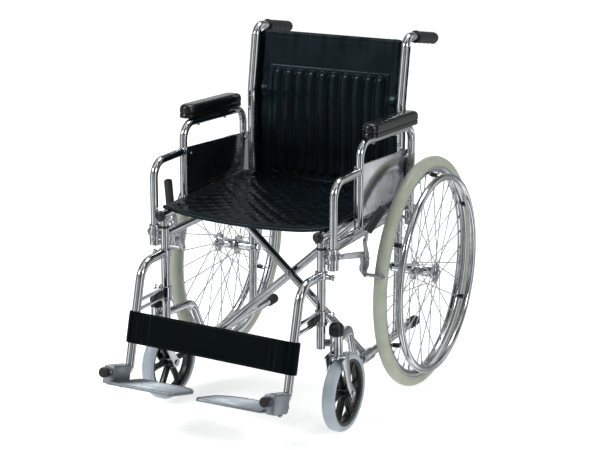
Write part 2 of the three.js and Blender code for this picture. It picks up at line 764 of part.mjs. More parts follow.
function casterCap(side) {
  const base = BARREL_TOP + GAP;
  const profile = [
    [0, 0],
    [CAP_R, 0],
    [CAP_R, 14],
    [CAP_R - 2.5, 22],
    [CAP_R - 9, CAP_HEIGHT - 2],
    [0, CAP_HEIGHT],
  ];
  const dome = turned(profile, Z_AXIS, v3(0, 0, base), 20);
  return groupAt(side.at(CASTER_X, STEM_Y, 0), piece(side.label("caster_cap"), dome, "blackPlastic"));
}

// ---- armrest ---------------------------------------------------------------------------

function armFrame(side) {
  const frontY = FRONT_SOCKET_Y;
  const step = [v3(0, frontY, ARM_LEG_LOW), v3(0, frontY, STEP_Z), v3(0, LOOP_FRONT_Y, STEP_Z)];
  const loop = [
    v3(0, LOOP_FRONT_Y, ARM_LOWER_Z),
    v3(0, LOOP_FRONT_Y, ARM_TOP_FRONT_Z),
    v3(0, LOOP_REAR_Y, ARM_TOP_REAR_Z),
    v3(0, LOOP_REAR_Y, ARM_LEG_LOW),
  ];
  const lower = [v3(0, frontY, ARM_LOWER_Z), v3(0, LOOP_REAR_Y, ARM_LOWER_Z)];
  const body = join(
    bentBar(step, ARM_TUBE_R, ARM_BEND_R),
    bentBar(loop, ARM_TUBE_R, ARM_BEND_R),
    bentBar(lower, ARM_LOWER_R),
  );
  return piece(side.label("arm_frame"), body, "chrome");
}

/** Outline of the arm pad from above, round at the front and soft at the rear corners. */
function padOutline() {
  const half = PAD_HALF_WIDTH;
  const rearR = 9;
  const shape = new THREE.Shape();
  shape.absarc(0, PAD_FRONT + half, half, Math.PI, 2 * Math.PI, false);
  shape.absarc(half - rearR, PAD_REAR - rearR, rearR, 0, Math.PI / 2, false);
  shape.absarc(-half + rearR, PAD_REAR - rearR, rearR, Math.PI / 2, Math.PI, false);
  shape.closePath();
  return new THREE.Shape(shape.getPoints(3));
}

/** The arm pad, bolted on top of the loop and tipped back with it. */
function armPad(side) {
  const slope = (ARM_TOP_REAR_Z - ARM_TOP_FRONT_Z) / (LOOP_REAR_Y - LOOP_FRONT_Y);
  const tip = Math.atan(slope);
  const middle = (PAD_FRONT + PAD_REAR) / 2;
  const seat = ARM_TOP_FRONT_Z + slope * (middle - LOOP_FRONT_Y) + (ARM_TUBE_R + GAP) / Math.cos(tip);
  const geometry = new THREE.ExtrudeGeometry(padOutline(), {
    depth: PAD_HEIGHT - 2 * PAD_BEVEL,
    bevelThickness: PAD_BEVEL,
    bevelSize: PAD_BEVEL,
    bevelOffset: -PAD_BEVEL,
    bevelSegments: 2,
  });
  geometry.translate(side.sign * (PAD_X - ARM_X), -middle, PAD_BEVEL);
  geometry.rotateX(tip);
  geometry.translate(0, middle, seat);
  return piece(side.label("arm_pad"), solidOf(geometry), "blackVinyl");
}

function skirtGuard(side) {
  const outline = [
    v2(LOOP_FRONT_Y - GUARD_MARGIN, GUARD_LOW),
    v2(LOOP_REAR_Y + GUARD_MARGIN, GUARD_LOW),
    v2(LOOP_REAR_Y + GUARD_MARGIN, GUARD_TOP_REAR),
    v2(LOOP_FRONT_Y - GUARD_MARGIN, GUARD_TOP_FRONT),
  ];
  const outer = -(ARM_TUBE_R + GAP);
  const sheet = slabAcross(side, outline, outer - GUARD_THICK, outer);
  return piece(side.label("skirt_guard"), sheet, "mirrorSteel");
}

function armrestGroup(side) {
  return groupAt(side.at(ARM_X, 0, 0), armFrame(side), armPad(side), skirtGuard(side));
}

// ---- wheel lock ------------------------------------------------------------------------

/** Clamp ring on the front arm socket, with a bar and a plate that reach back to the tyre. */
function lockBracket(side) {
  const inner = LOCK_PLATE_X;
  const outer = LOCK_PLATE_X + LOCK_PLATE_THICK;
  const socketY = FRONT_SOCKET_Y;
  const outline = [
    v2(socketY, 470),
    v2(-348, 446),
    v2(-298, 434),
    v2(-296, 396),
    v2(-310, 386),
    v2(-338, 386),
    v2(-346, 430),
    v2(socketY, 454),
  ];
  const plate = slabAcross(side, outline, inner, outer);
  const clampAt = (z) => side.at(ARM_X, socketY, z);
  const clamp = rod(clampAt(CLAMP.low), clampAt(CLAMP.top), SOCKET_R + CLAMP.wall);
  const socketRoom = rod(clampAt(SOCKET_LOW), clampAt(SOCKET_TOP), boreRadius(SOCKET_R));
  const postSide = box(
    side.at(FRAME_HALF, socketY - TUBE_R - SOCKET_R, SOCKET_LOW),
    side.at(ARM_X - CLAMP.inner, socketY + TUBE_R + SOCKET_R, SOCKET_TOP),
  );
  const pinHoles = [LOCK_PIVOT, SHOE_PIVOT].map((pivot) => {
    const from = side.at(inner - OVERSHOOT, pivot.y, pivot.z);
    return rod(from, side.at(outer + OVERSHOOT, pivot.y, pivot.z), boreRadius(LOCK_PIN_R));
  });
  const body = cut(join(plate, clamp), socketRoom, postSide, ...pinHoles);
  return piece(side.label("lock_bracket"), body, "zincSteel");
}

function lockLever(side) {
  const inner = LOCK_PLATE_X + LOCK_PLATE_THICK + GAP;
  const outer = inner + LEVER_THICK;
  const { y, z } = LOCK_PIVOT;
  const half = LEVER_HALF_WIDTH;
  const outline = [
    v2(y - half, z - half),
    v2(y + half, z - half),
    v2(y + half, z + half),
    v2(LEVER_TOP.y + half, LEVER_TOP.z),
    v2(LEVER_TOP.y - half, LEVER_TOP.z),
    v2(y - half - 4, z + half),
  ];
  const strip = slabAcross(side, outline, inner, outer);
  const pin = rod(side.at(LOCK_PLATE_X - 3, y, z), side.at(outer + 3, y, z), LOCK_PIN_R);
  const low = side.at(LOCK_GRIP_LOW.x, LOCK_GRIP_LOW.y, LOCK_GRIP_LOW.z);
  const high = side.at(LOCK_GRIP_TOP.x, LOCK_GRIP_TOP.y, LOCK_GRIP_TOP.z);
  const rodTop = low.clone().lerp(high, STALK_IN_GRIP);
  const foot = side.at(inner + LEVER_ROD_R, LEVER_TOP.y, LEVER_TOP.z - half);
  const stalk = bentBar([foot, low, rodTop], LEVER_ROD_R, 8, 8);
  return piece(side.label("lock_lever"), join(strip, pin, stalk), "zincSteel");
}

function lockGrip(side) {
  const low = side.at(LOCK_GRIP_LOW.x, LOCK_GRIP_LOW.y, LOCK_GRIP_LOW.z);
  const high = side.at(LOCK_GRIP_TOP.x, LOCK_GRIP_TOP.y, LOCK_GRIP_TOP.z);
  const axis = high.clone().sub(low).normalize();
  const length = high.distanceTo(low);
  const skip = 5; // the rod's bend stays below the grip
  const profile = [
    [0, skip],
    [LOCK_GRIP_R - 2, skip],
    [LOCK_GRIP_R, skip + 4],
    [LOCK_GRIP_R, length - 4],
    [LOCK_GRIP_R - 3, length],
    [0, length],
  ];
  const body = turned(profile, axis, low, 16);
  const bore = rod(
    low.clone().addScaledVector(axis, -OVERSHOOT),
    low.clone().addScaledVector(axis, STALK_IN_GRIP * length + GAP),
    boreRadius(LEVER_ROD_R),
  );
  return piece(side.label("lock_grip"), cut(body, bore), "blackRubber");
}

/** The bent rod that presses on the tread, on a short arm inside the plate. */
function lockShoe(side) {
  const outer = LOCK_PLATE_X - GAP;
  const inner = outer - LEVER_THICK;
  const reach = WHEEL_R + SHOE_R + RUNNING_GAP;
  const shoeY = -Math.sqrt(reach ** 2 - (WHEEL_R - SHOE_Z) ** 2);
  const { y, z } = SHOE_PIVOT;
  const outline = [
    v2(y - 8, z + 8),
    v2(y - 9, z - 8),
    v2(shoeY - 7, SHOE_Z - 6),
    v2(shoeY + 6, SHOE_Z - 6),
    v2(shoeY + 7, SHOE_Z + 5),
    v2(y + 8, z + 8),
  ];
  const arm = slabAcross(side, outline, inner, outer);
  const pin = rod(side.at(inner, y, z), side.at(LOCK_PLATE_X + LOCK_PLATE_THICK - GAP, y, z), LOCK_PIN_R);
  const bar = rod(side.at(inner, shoeY, SHOE_Z), side.at(WHEEL_X + TYRE_R + 3, shoeY, SHOE_Z), SHOE_R);
  return piece(side.label("lock_shoe"), join(arm, pin, bar), "zincSteel");
}

function wheelLockGroup(side) {
  return groupAt(v3(0, 0, 0), lockBracket(side), lockLever(side), lockGrip(side), lockShoe(side));
}

// ---- hanger ----------------------------------------------------------------------------

/** Y of the hanger's centre line below its bend, from the front post's axis. */
function hangerY(z) {
  return -HANGER_REACH - (HANGER_TOP_Z - z) * Math.tan(FOOT_TILT);
}

/** Height at which the hanger tube ends and the footrest's own tube goes on. */
function hangerEndZ() {
  return ELBOW_Z + STEM_LENGTH * Math.cos(FOOT_TILT);
}

function hanger(side) {
  const endZ = hangerEndZ() + GAP;
  const tube = bentBar(
    [v3(0, -8, HANGER_TOP_Z), v3(0, -HANGER_REACH, HANGER_TOP_Z), v3(0, hangerY(endZ), endZ)],
    TUBE_R,
    HANGER_BEND_R,
  );
  const eyes = [UPPER_EYE, LOWER_EYE].map((eye) => rod(v3(0, 0, eye.low), v3(0, 0, eye.top), EYE_R));
  const half = STRUT_WIDTH / 2;
  const strutLows = [LOWER_EYE.low, LOWER_EYE.top - STRUT_HEIGHT];
  const struts = strutLows.map((low) => {
    const reach = hangerY(low);
    return box(v3(-half, reach, low), v3(half, -TUBE_R - OVERSHOOT, low + STRUT_HEIGHT));
  });
  const root = TUBE_R + OVERSHOOT;
  const latchAt = (x) => side.at(x, 0, LATCH.z);
  const boltAt = (x) => side.at(x, 0, HANGER_BOLT.z);
  const latchBoss = rod(latchAt(root), latchAt(EYE_R + LATCH.bossLength), LATCH.bossR);
  const lowerBolt = rod(boltAt(root), boltAt(EYE_R + HANGER_BOLT.length), HANGER_BOLT.r);
  const { nutNear, nutFar, nutR } = HANGER_BOLT;
  const nut = rod(boltAt(EYE_R + nutNear), boltAt(EYE_R + nutFar), nutR, 6);
  const postRoom = rod(
    v3(0, 0, LOWER_EYE.low - OVERSHOOT),
    v3(0, 0, HANGER_TOP_Z + TUBE_R + OVERSHOOT),
    boreRadius(TUBE_R),
  );
  const latchRoom = rod(latchAt(EYE_R), latchAt(THROUGH), boreRadius(LATCH.r));
  const body = join(tube, ...eyes, ...struts, latchBoss, lowerBolt, nut);
  return piece(side.label("hanger"), cut(body, postRoom, latchRoom), "chrome");
}

function hangerLatch(side) {
  const start = EYE_R + GAP;
  const pin = rod(side.at(start, 0, LATCH.z), side.at(start + LATCH.length, 0, LATCH.z), LATCH.r);
  const centre = side.at(start + LATCH.length - LATCH.barR, 0, LATCH.z);
  const bars = [v3(0, LATCH.bar, 0), v3(0, 0, LATCH.bar)].map((arm) =>
    rod(centre.clone().sub(arm), centre.clone().add(arm), LATCH.barR, 8),
  );
  return piece(side.label("hanger_latch"), join(pin, ...bars), "zincSteel");
}

function hangerBumper(side) {
  const low = LOWER_EYE.low + STRUT_HEIGHT + GAP;
  const high = LOWER_EYE.top - STRUT_HEIGHT - GAP;
  const { rear, frontLow, frontHigh, half } = BUMPER;
  const outline = [v2(frontLow, low), v2(rear, low), v2(rear, high), v2(frontHigh, high)];
  return piece(side.label("hanger_bumper"), slabAcross(side, outline, -half, half), "blackRubber");
}

function hangerCollar(side) {
  const body = ring(Z_AXIS, COLLAR.low, COLLAR.top, COLLAR.r, boreRadius(TUBE_R));
  return piece(side.label("hanger_collar"), body, "zincSteel");
}

// ---- footrest, in a frame that is tilted toe up ----------------------------------------

function footrestStem(side) {
  const path = [v3(0, 0, STEM_LENGTH), v3(0, 0, 0), v3(0, -TOE_TUBE_LENGTH, 0)];
  return piece(side.label("footrest_stem"), bentBar(path, TUBE_R, ELBOW_BEND_R), "chrome");
}

function footPlug(side) {
  const bore = boreRadius(TUBE_R, GAP, TUBE_SIDES);
  const profile = [
    [bore, 0],
    [PLUG.r, 0],
    [PLUG.r, PLUG.length - 3],
    [PLUG.faceR, PLUG.length],
    [0, PLUG.length],
    [0, PLUG.cover + GAP],
    [bore, PLUG.cover + GAP],
  ];
  const origin = v3(0, -TOE_TUBE_LENGTH + PLUG.cover, 0);
  return piece(side.label("foot_plug"), cup(profile, v3(0, -1, 0), origin), "blackPlastic");
}

/** Outline of the plate from above; x is measured outward, and the inner rear corner is round. */
function plateOutline() {
  const outer = -BLOCK.outer + 4;
  const inner = PLATE_INNER_GAP - FRAME_HALF;
  const rearR = 66;
  const frontR = 14;
  const shape = new THREE.Shape();
  shape.moveTo(outer, PLATE_FRONT);
  shape.lineTo(outer, PLATE_REAR);
  shape.absarc(inner + rearR, PLATE_REAR - rearR, rearR, Math.PI / 2, Math.PI, false);
  shape.absarc(inner + frontR, PLATE_FRONT + frontR, frontR, Math.PI, 1.5 * Math.PI, false);
  shape.closePath();
  return shape.getPoints(6);
}

function footplate(side) {
  const top = -BLOCK.drop;
  const points = plateOutline().map((p) => v2(side.sign * p.x, p.y));
  const plate = slab(new THREE.Shape(points), X_AXIS, Y_AXIS, top - PLATE_THICK, top);
  const housing = slabAcross(
    side,
    [
      v2(BLOCK.front, -BLOCK.drop - 2),
      v2(BLOCK.rear, -BLOCK.drop - PLATE_THICK - 2),
      v2(BLOCK.rear, BLOCK.top),
      v2(BLOCK.front, BLOCK.top),
    ],
    -BLOCK.outer,
    BLOCK.outer,
  );
  const mouth = v3(0, TUBE_R, 0);
  const tubeRoom = rod(mouth, v3(0, -TOE_TUBE_LENGTH, 0), boreRadius(TUBE_R), TUBE_SIDES, HALF_SIDE);
  const boltTop = -BLOCK.drop - PLATE_THICK + 2;
  const bolt = rod(v3(0, BLOCK.rear - 14, boltTop), v3(0, BLOCK.rear - 14, boltTop - 12), 5, 8);
  return piece(side.label("footplate"), cut(join(plate, housing, bolt), tubeRoom), "castAluminium");
}

function footrestGroup(side) {
  const group = groupAt(
    v3(0, hangerY(ELBOW_Z), ELBOW_Z),
    footrestStem(side),
    footPlug(side),
    footplate(side),
  );
  group.rotation.x = -FOOT_TILT;
  return group;
}

function hangerGroup(side) {
  return groupAt(
    side.at(FRAME_HALF, FRONT_POST_Y, 0),
    hanger(side),
    hangerLatch(side),
    hangerBumper(side),
    hangerCollar(side),
    footrestGroup(side),
  );
}

// ---- folding brace ---------------------------------------------------------------------

/** One crossing member: sleeve on the bottom rail of one side, seat rail over the other. */
function braceMember(name, side, tubeY) {
  const sleeveX = side.sign * FRAME_HALF;
  const railX = -sleeveX;
  const tube = bentBar([v3(sleeveX, tubeY, BOTTOM_RAIL_Z), v3(railX, tubeY, SEAT_RAIL_Z)], TUBE_R);
  const half = SLEEVE_LENGTH / 2;
  const sleeveAt = (y) => v3(sleeveX, y, BOTTOM_RAIL_Z);
  const railAt = (y) => v3(railX, y, SEAT_RAIL_Z);
  const sleeve = rod(sleeveAt(tubeY - half), sleeveAt(tubeY + half), SLEEVE_R);
  const rail = rod(railAt(SEAT_RAIL_FRONT), railAt(SEAT_RAIL_REAR), TUBE_R);
  const railRoom = rod(
    sleeveAt(tubeY - SLEEVE_LENGTH),
    sleeveAt(tubeY + SLEEVE_LENGTH),
    boreRadius(TUBE_R),
  );
  const boltFrom = v3(0, tubeY - 2 * TUBE_R, PIVOT_Z);
  const boltRoom = rod(boltFrom, v3(0, tubeY + 2 * TUBE_R, PIVOT_Z), boreRadius(BRACE_BOLT_R));
  return piece(name, cut(join(tube, sleeve, rail), railRoom, boltRoom), "chrome");
}

function braceBolt() {
  const half = BRACE_OFFSET + TUBE_R + GAP;
  const headR = 9;
  const headThick = 6;
  const at = (y) => v3(0, BRACE_Y + y, PIVOT_Z);
  const body = join(
    rod(at(-half - 3), at(half + 3), BRACE_BOLT_R),
    rod(at(-half - headThick), at(-half), headR),
    rod(at(half), at(half + headThick), headR, 6),
  );
  return piece("brace_bolt", body, "zincSteel");
}

function seatRailPlug(side) {
  const origin = side.at(FRAME_HALF, SEAT_RAIL_FRONT - GAP, SEAT_RAIL_Z);
  const profile = [
    [0, 0],
    [TUBE_R + 1.5, 0],
    [TUBE_R + 1.5, 5],
    [TUBE_R - 1, 9],
    [0, 9],
  ];
  return piece(side.label("rail_plug"), turned(profile, v3(0, -1, 0), origin, 16), "blackPlastic");
}

// ---- soft goods ------------------------------------------------------------------------

/** The seat sling: flat over both rails and sagging between them. */
function seatSling() {
  const half = FRAME_HALF + SEAT_OVERHANG;
  const low = SEAT_RAIL_Z + TUBE_R + GAP;
  const flat = FRAME_HALF - TUBE_R;
  const steps = 12;
  const sagAt = (x) => (Math.abs(x) >= flat ? 0 : SEAT_SAG * (1 - (x / flat) ** 2));
  const stations = [-half, half];
  for (let i = 0; i <= steps; i += 1) stations.push(-flat + (2 * flat * i) / steps);
  stations.sort((a, b) => a - b);
  const under = stations.map((x) => v2(x, low - sagAt(x)));
  const over = stations.map((x) => v2(x, low + SEAT_THICK - sagAt(x))).reverse();
  const sheet = slab([...under, ...over], X_AXIS, Z_AXIS, -SEAT_REAR, -SEAT_FRONT);
  return piece("seat_sling", sheet, "blackVinyl");
}

/** A strip of the back sling from the side: two distances behind the posts, and its reach. */
function backStrip(near, far, reach) {
  const tan = Math.tan(RECLINE / 2);
  const along = (offset) => {
    const kinkZ = KINK_Z - offset * tan;
    const topY = reach * Math.sin(RECLINE) + offset * Math.cos(RECLINE);
    const topZ = KINK_Z + reach * Math.cos(RECLINE) - offset * Math.sin(RECLINE);
    return [v2(offset, BACK_LOW), v2(offset, kinkZ), v2(topY, topZ)];
  };
  return [...along(near), ...along(far).reverse()];
}

function backSling() {
  const inner = TUBE_R + GAP;
  const half = FRAME_HALF + TUBE_R + GAP + BACK_LIP;
  const outer = inner + BACK_THICK;
  const belowBend = RECLINED_LENGTH - HANDLE_BEND_R - 1;
  const betweenPosts = FRAME_HALF - TUBE_R - 1;
  const topReach = RECLINED_LENGTH - BACK_BELOW_CORNER;
  const panel = slab(backStrip(inner, outer, belowBend).reverse(), Y_AXIS, Z_AXIS, -half, half);
  const crown = backStrip(inner, outer, topReach).reverse();
  const middle = slab(crown, Y_AXIS, Z_AXIS, -betweenPosts, betweenPosts);
  const lips = SIDES.map((side) =>
    slabAcross(side, backStrip(-2, inner + 1, belowBend).reverse(), half - BACK_LIP, half),
  );
  return piece("back_sling", join(panel, middle, ...lips), "blackVinyl");
}

/** The band behind the calves, in front of both hanger tubes and round their outer sides. */
function calfStrap() {
  const half = FRAME_HALF + TUBE_R + GAP + STRAP_THICK;
  const near = -(TUBE_R + GAP);
  const far = near - STRAP_THICK;
  const lipRear = 8;
  const front = box(v3(-half, far, 0), v3(half, near, STRAP_HEIGHT));
  const lips = SIDES.map((side) => box(
    side.at(half - STRAP_THICK, far, 0),
    side.at(half, lipRear, STRAP_HEIGHT),
  ));
  const band = piece("calf_strap", join(front, ...lips), "blackVinyl");
  const group = groupAt(v3(0, FRONT_POST_Y + hangerY(STRAP_LOW), STRAP_LOW), band);
  group.rotation.x = -FOOT_TILT;
  return group;
}

// ============================ the whole chair ===========================================

/** How far the model moves along Y so that its length is centred on the origin. */
function lengthShift() {
  const plugTip = TOE_TUBE_LENGTH + PLUG.length - PLUG.cover;
  const elbowY = FRONT_POST_Y + hangerY(ELBOW_Z);
  const front = elbowY - plugTip * Math.cos(FOOT_TILT) - PLUG.faceR * Math.sin(FOOT_TILT);
  return -(front + WHEEL_R) / 2;
}

function wheelchair() {
  const chair = new THREE.Group();
  for (const side of SIDES) {
    chair.add(
      sideFrameGroup(side),
      rearWheelGroup(side),
      axle(side),
      casterCap(side),
      casterGroup(side),
      armrestGroup(side),
      wheelLockGroup(side),
      hangerGroup(side),
      seatRailPlug(side),
    );
  }
  const [left, right] = SIDES;
  chair.add(
    braceMember("brace_front", left, BRACE_Y - BRACE_OFFSET),
    braceMember("brace_rear", right, BRACE_Y + BRACE_OFFSET),
    braceBolt(),
    seatSling(),
    backSling(),
    calfStrap(),
  );
  chair.position.y = lengthShift();
  return chair;
}

const model = new THREE.Group();
model.add(wheelchair());
export default model;
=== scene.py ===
"""Looks of a folding manual wheelchair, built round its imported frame, for Blender 4.5.

Sizes are in millimetres. X runs across the chair with the sitter's left on +X, Y runs back
from the rear axle, and Z runs up from the floor, until Form.build() turns them to metres.
"""

import logging
import math
from dataclasses import dataclass, field
from enum import Enum
from typing import Callable, ClassVar, Iterable, Mapping, Optional, Sequence

import bmesh
import bpy
from mathutils import Matrix, Vector, noise


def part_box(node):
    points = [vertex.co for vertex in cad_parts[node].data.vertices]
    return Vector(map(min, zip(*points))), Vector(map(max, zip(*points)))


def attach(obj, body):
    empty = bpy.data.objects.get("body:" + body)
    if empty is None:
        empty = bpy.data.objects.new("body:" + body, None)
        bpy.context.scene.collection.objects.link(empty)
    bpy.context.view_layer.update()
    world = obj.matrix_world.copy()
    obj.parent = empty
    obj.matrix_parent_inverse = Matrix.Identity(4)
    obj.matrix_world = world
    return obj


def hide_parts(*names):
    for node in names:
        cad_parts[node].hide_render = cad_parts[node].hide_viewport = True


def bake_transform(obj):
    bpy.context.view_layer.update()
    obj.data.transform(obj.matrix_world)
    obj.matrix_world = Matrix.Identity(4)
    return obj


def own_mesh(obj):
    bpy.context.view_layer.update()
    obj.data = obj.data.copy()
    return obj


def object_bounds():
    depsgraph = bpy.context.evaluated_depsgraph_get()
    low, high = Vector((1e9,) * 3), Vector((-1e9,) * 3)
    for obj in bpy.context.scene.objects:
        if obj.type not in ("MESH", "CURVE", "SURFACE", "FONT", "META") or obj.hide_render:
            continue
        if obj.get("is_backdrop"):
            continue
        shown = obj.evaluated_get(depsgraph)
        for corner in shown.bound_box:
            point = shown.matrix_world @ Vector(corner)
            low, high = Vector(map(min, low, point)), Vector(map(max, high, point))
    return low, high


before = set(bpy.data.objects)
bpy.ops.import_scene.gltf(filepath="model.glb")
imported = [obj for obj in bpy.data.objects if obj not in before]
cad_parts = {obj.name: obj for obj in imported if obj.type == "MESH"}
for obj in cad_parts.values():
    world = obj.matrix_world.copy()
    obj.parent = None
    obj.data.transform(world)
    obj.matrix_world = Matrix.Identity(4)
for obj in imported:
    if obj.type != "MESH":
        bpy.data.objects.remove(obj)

CAD_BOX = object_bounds()
LOG = logging.getLogger("wheelchair")

MM = 0.001
X_AXIS = Vector((1, 0, 0))
Y_AXIS = Vector((0, 1, 0))
Z_AXIS = Vector((0, 0, 1))
TAU = 2 * math.pi

# driving sizes that several sub-assemblies share
FRAME_X = 217.0  # side-frame tubes and seat rails from the middle of the chair
TUBE_R = 11.0
FRONT_POST_Y = -468.0
BOTTOM_RAIL_Z = 120.0
SEAT_RAIL_Z = 510.0
BACK_KINK_Z = 744.0  # where the back posts start to recline
BACK_RECLINE = math.radians(9.5)
WHEEL_R = 305.0
CASTER_X, CASTER_STEM_Y = 252.0, -454.0
ARM_X = 247.0
HANGER_TOP_Z = 412.0
HANGER_REACH = 111.0  # of the hanger's upper bend ahead of the front post
HANGER_TILT = math.radians(15.5)

Tree = bpy.types.NodeTree
Socket = bpy.types.NodeSocket
Outline = Sequence[tuple[float, float]]  # points round a flat shape, or a profile to turn
Pairs = list[tuple[float, float]]


def axle_shift() -> float:
    """Y of the rear axle in the frame, in millimetres, from the rear tyre's own box."""
    low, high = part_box("left_rear_tyre")
    return (low.y + high.y) / 2 / MM


AXLE_Y = axle_shift()


class Side(Enum):
    """One side of the chair, by the sitter's hand."""

    LEFT = 1
    RIGHT = -1

    @property
    def hand(self) -> str:
        """The word that starts the side's node names."""
        return self.name.lower()

    def at(self, x: float, y: float, z: float) -> Vector:
        """A point whose x is measured outward from the chair's middle."""
        return Vector((self.value * x, y, z))

    def span(self, inner: float, outer: float, y: float, z: float) -> tuple[Vector, Vector]:
        """The two ends of a pin that runs across, between two distances from the middle."""
        return self.at(inner, y, z), self.at(outer, y, z)

    @property
    def outward(self) -> Vector:
        """The direction away from the chair's middle."""
        return X_AXIS * self.value

    def node(self, part: str) -> str:
        """The name of this side's CAD node for a part."""
        return f"{self.hand}_{part}"


# ------------------------------------------------------------------ colours and nodes


def srgb(code: str) -> tuple[float, float, float, float]:
    """Turns an sRGB hex colour to linear.

    Args:
        code: Six hex digits after a hash.

    Returns:
        Linear red, green, blue and a full alpha.
    """
    values = [int(code[i : i + 2], 16) / 255 for i in (1, 3, 5)]
    linear = [v / 12.92 if v <= 0.04045 else ((v + 0.055) / 1.055) ** 2.4 for v in values]
    return (linear[0], linear[1], linear[2], 1.0)


def add_node(
    tree: Tree,
    kind: str,
    settings: Optional[Mapping[object, object]] = None,
    links: Optional[Mapping[object, Socket]] = None,
) -> bpy.types.Node:
    """Adds a shader node with its settings and links.

    Args:
        tree: Node tree that gets the node.
        kind: Blender's name of the node type.
        settings: Values by input name or number, or by property name.
        links: Output sockets by the input name or number that they feed.

    Returns:
        The new node.
    """
    node = tree.nodes.new(kind)
    for key, value in (settings or {}).items():
        if isinstance(key, int) or key in node.inputs:
            node.inputs[key].default_value = value
        else:
            setattr(node, str(key), value)
    for key, socket in (links or {}).items():
        tree.links.new(socket, node.inputs[key])
    return node


def new_material(name: str) -> tuple[bpy.types.Material, Tree, bpy.types.Node]:
    """Starts a material.

    Args:
        name: The real material's name.

    Returns:
        The material, its node tree and its Principled shader.
    """
    material = bpy.data.materials.new(name)
    material.use_nodes = True
    tree = material.node_tree
    return material, tree, tree.nodes["Principled BSDF"]


def frame_coordinates(tree: Tree, stretch: Vector = Vector((1, 1, 1))) -> Socket:
    """Coordinates in metres that stay with the piece.

    Args:
        tree: Node tree to work in.
        stretch: Factor on each axis, below 1 to draw a pattern out along it.

    Returns:
        The socket of the scaled coordinates.
    """
    place = add_node(tree, "ShaderNodeTexCoord")
    scaled = add_node(
        tree, "ShaderNodeVectorMath", {"operation": "MULTIPLY", 1: stretch}, {0: place.outputs["Object"]}
    )
    return scaled.outputs["Vector"]


def speckle(tree: Tree, size_mm: float, detail: float = 2.0, stretch: Vector = Vector((1, 1, 1))) -> Socket:
    """Cloudy noise whose blotches are about size_mm across.

    Args:
        tree: Node tree to work in.
        size_mm: Width of a blotch in millimetres.
        detail: Octaves of finer noise.
        stretch: Factor on each axis of the coordinates.

    Returns:
        The noise value, from 0 to 1.
    """
    scale = 1 / (size_mm * MM)
    place = frame_coordinates(tree, stretch)
    texture = add_node(tree, "ShaderNodeTexNoise", {"Scale": scale, "Detail": detail}, {"Vector": place})
    return texture.outputs["Fac"]


def ranged(
    tree: Tree, value: Socket, low: float, high: float, start: float = 0.3, end: float = 0.7
) -> Socket:
    """Maps a value to run from low to high.

    Args:
        tree: Node tree to work in.
        value: Value to map.
        low: Result where the value is start.
        high: Result where the value is end.
        start: Value that gives low.
        end: Value that gives high.

    Returns:
        The mapped value, held between low and high.
    """
    settings = {"From Min": start, "From Max": end, "To Min": low, "To Max": high}
    return add_node(tree, "ShaderNodeMapRange", settings, {"Value": value}).outputs["Result"]


def blend_colours(tree: Tree, share: Socket, first: str, second: str) -> Socket:
    """Mixes two sRGB colours.

    Args:
        tree: Node tree to work in.
        share: Share of the second colour.
        first: Hex colour at share 0.
        second: Hex colour at share 1.

    Returns:
        The mixed colour.
    """
    settings = {"data_type": "RGBA", 6: srgb(first), 7: srgb(second)}
    mix = add_node(tree, "ShaderNodeMix", settings, {0: share})
    return mix.outputs[2]


def relief(
    tree: Tree,
    height: Socket,
    depth_mm: float,
    under: Optional[Socket] = None,
    strength: float = 1.0,
) -> Socket:
    """Turns a height pattern to surface relief.

    Args:
        tree: Node tree to work in.
        height: Height pattern, from 0 to 1.
        depth_mm: Depth of the relief in millimetres.
        under: Coarser relief that this one lies on.
        strength: Share of the relief that shows.

    Returns:
        The normal.
    """
    links = {"Height": height}
    if under is not None:
        links["Normal"] = under
    bump = add_node(tree, "ShaderNodeBump", {"Distance": depth_mm * MM, "Strength": strength}, links)
    return bump.outputs["Normal"]


def dress(tree: Tree, shader: bpy.types.Node, tint: Socket, gloss: Socket, normal: Socket) -> None:
    """Links a finish's colour, roughness and relief to its shader."""
    tree.links.new(tint, shader.inputs["Base Color"])
    tree.links.new(gloss, shader.inputs["Roughness"])
    tree.links.new(normal, shader.inputs["Normal"])


# -------------------------------------------------------------------------- finishes


@dataclass(frozen=True)
class ChromePlate:
    """Nickel-chrome plate on drawn steel tube, buffed: a mirror with faint buffing haze."""

    name: str = "chrome_plated_steel"
    colour: str = "#cbd0d4"
    haze: str = "#b9bbbc"
    gloss: float = 0.035
    dull: float = 0.13

    def make(self) -> bpy.types.Material:
        """Builds the material."""
        material, tree, shader = new_material(self.name)
        clouds = speckle(tree, 26, 4)
        fine = speckle(tree, 1.4, 1)
        tint = blend_colours(tree, ranged(tree, clouds, 0, 1, 0.4, 0.75), self.colour, self.haze)
        # buffing leaves ripples a few micrometres deep, which break long reflections a little
        dress(tree, shader, tint, ranged(tree, clouds, self.gloss, self.dull), relief(tree, fine, 0.006))
        shader.inputs["Metallic"].default_value = 1.0
        return material


@dataclass(frozen=True)
class RolledSteel:
    """Sheet, plate or bar with a grain: lines along one direction and a satin or bright sheen."""

    name: str
    colour: str
    shade: str
    gloss: float
    dull: float
    grain_mm: float = 0.5
    draw_out: float = 0.04  # how much longer than wide the grain is, as a share
    relief_mm: float = 0.01

    def make(self) -> bpy.types.Material:
        """Builds the material."""
        material, tree, shader = new_material(self.name)
        lines = speckle(tree, self.grain_mm, 2, Vector((1, self.draw_out, 1)))
        clouds = speckle(tree, 45, 3)
        tint = blend_colours(tree, ranged(tree, clouds, 0, 1), self.colour, self.shade)
        gloss = ranged(tree, lines, self.gloss, self.dull)
        dress(tree, shader, tint, gloss, relief(tree, lines, self.relief_mm))
        shader.inputs["Metallic"].default_value = 1.0
        return material


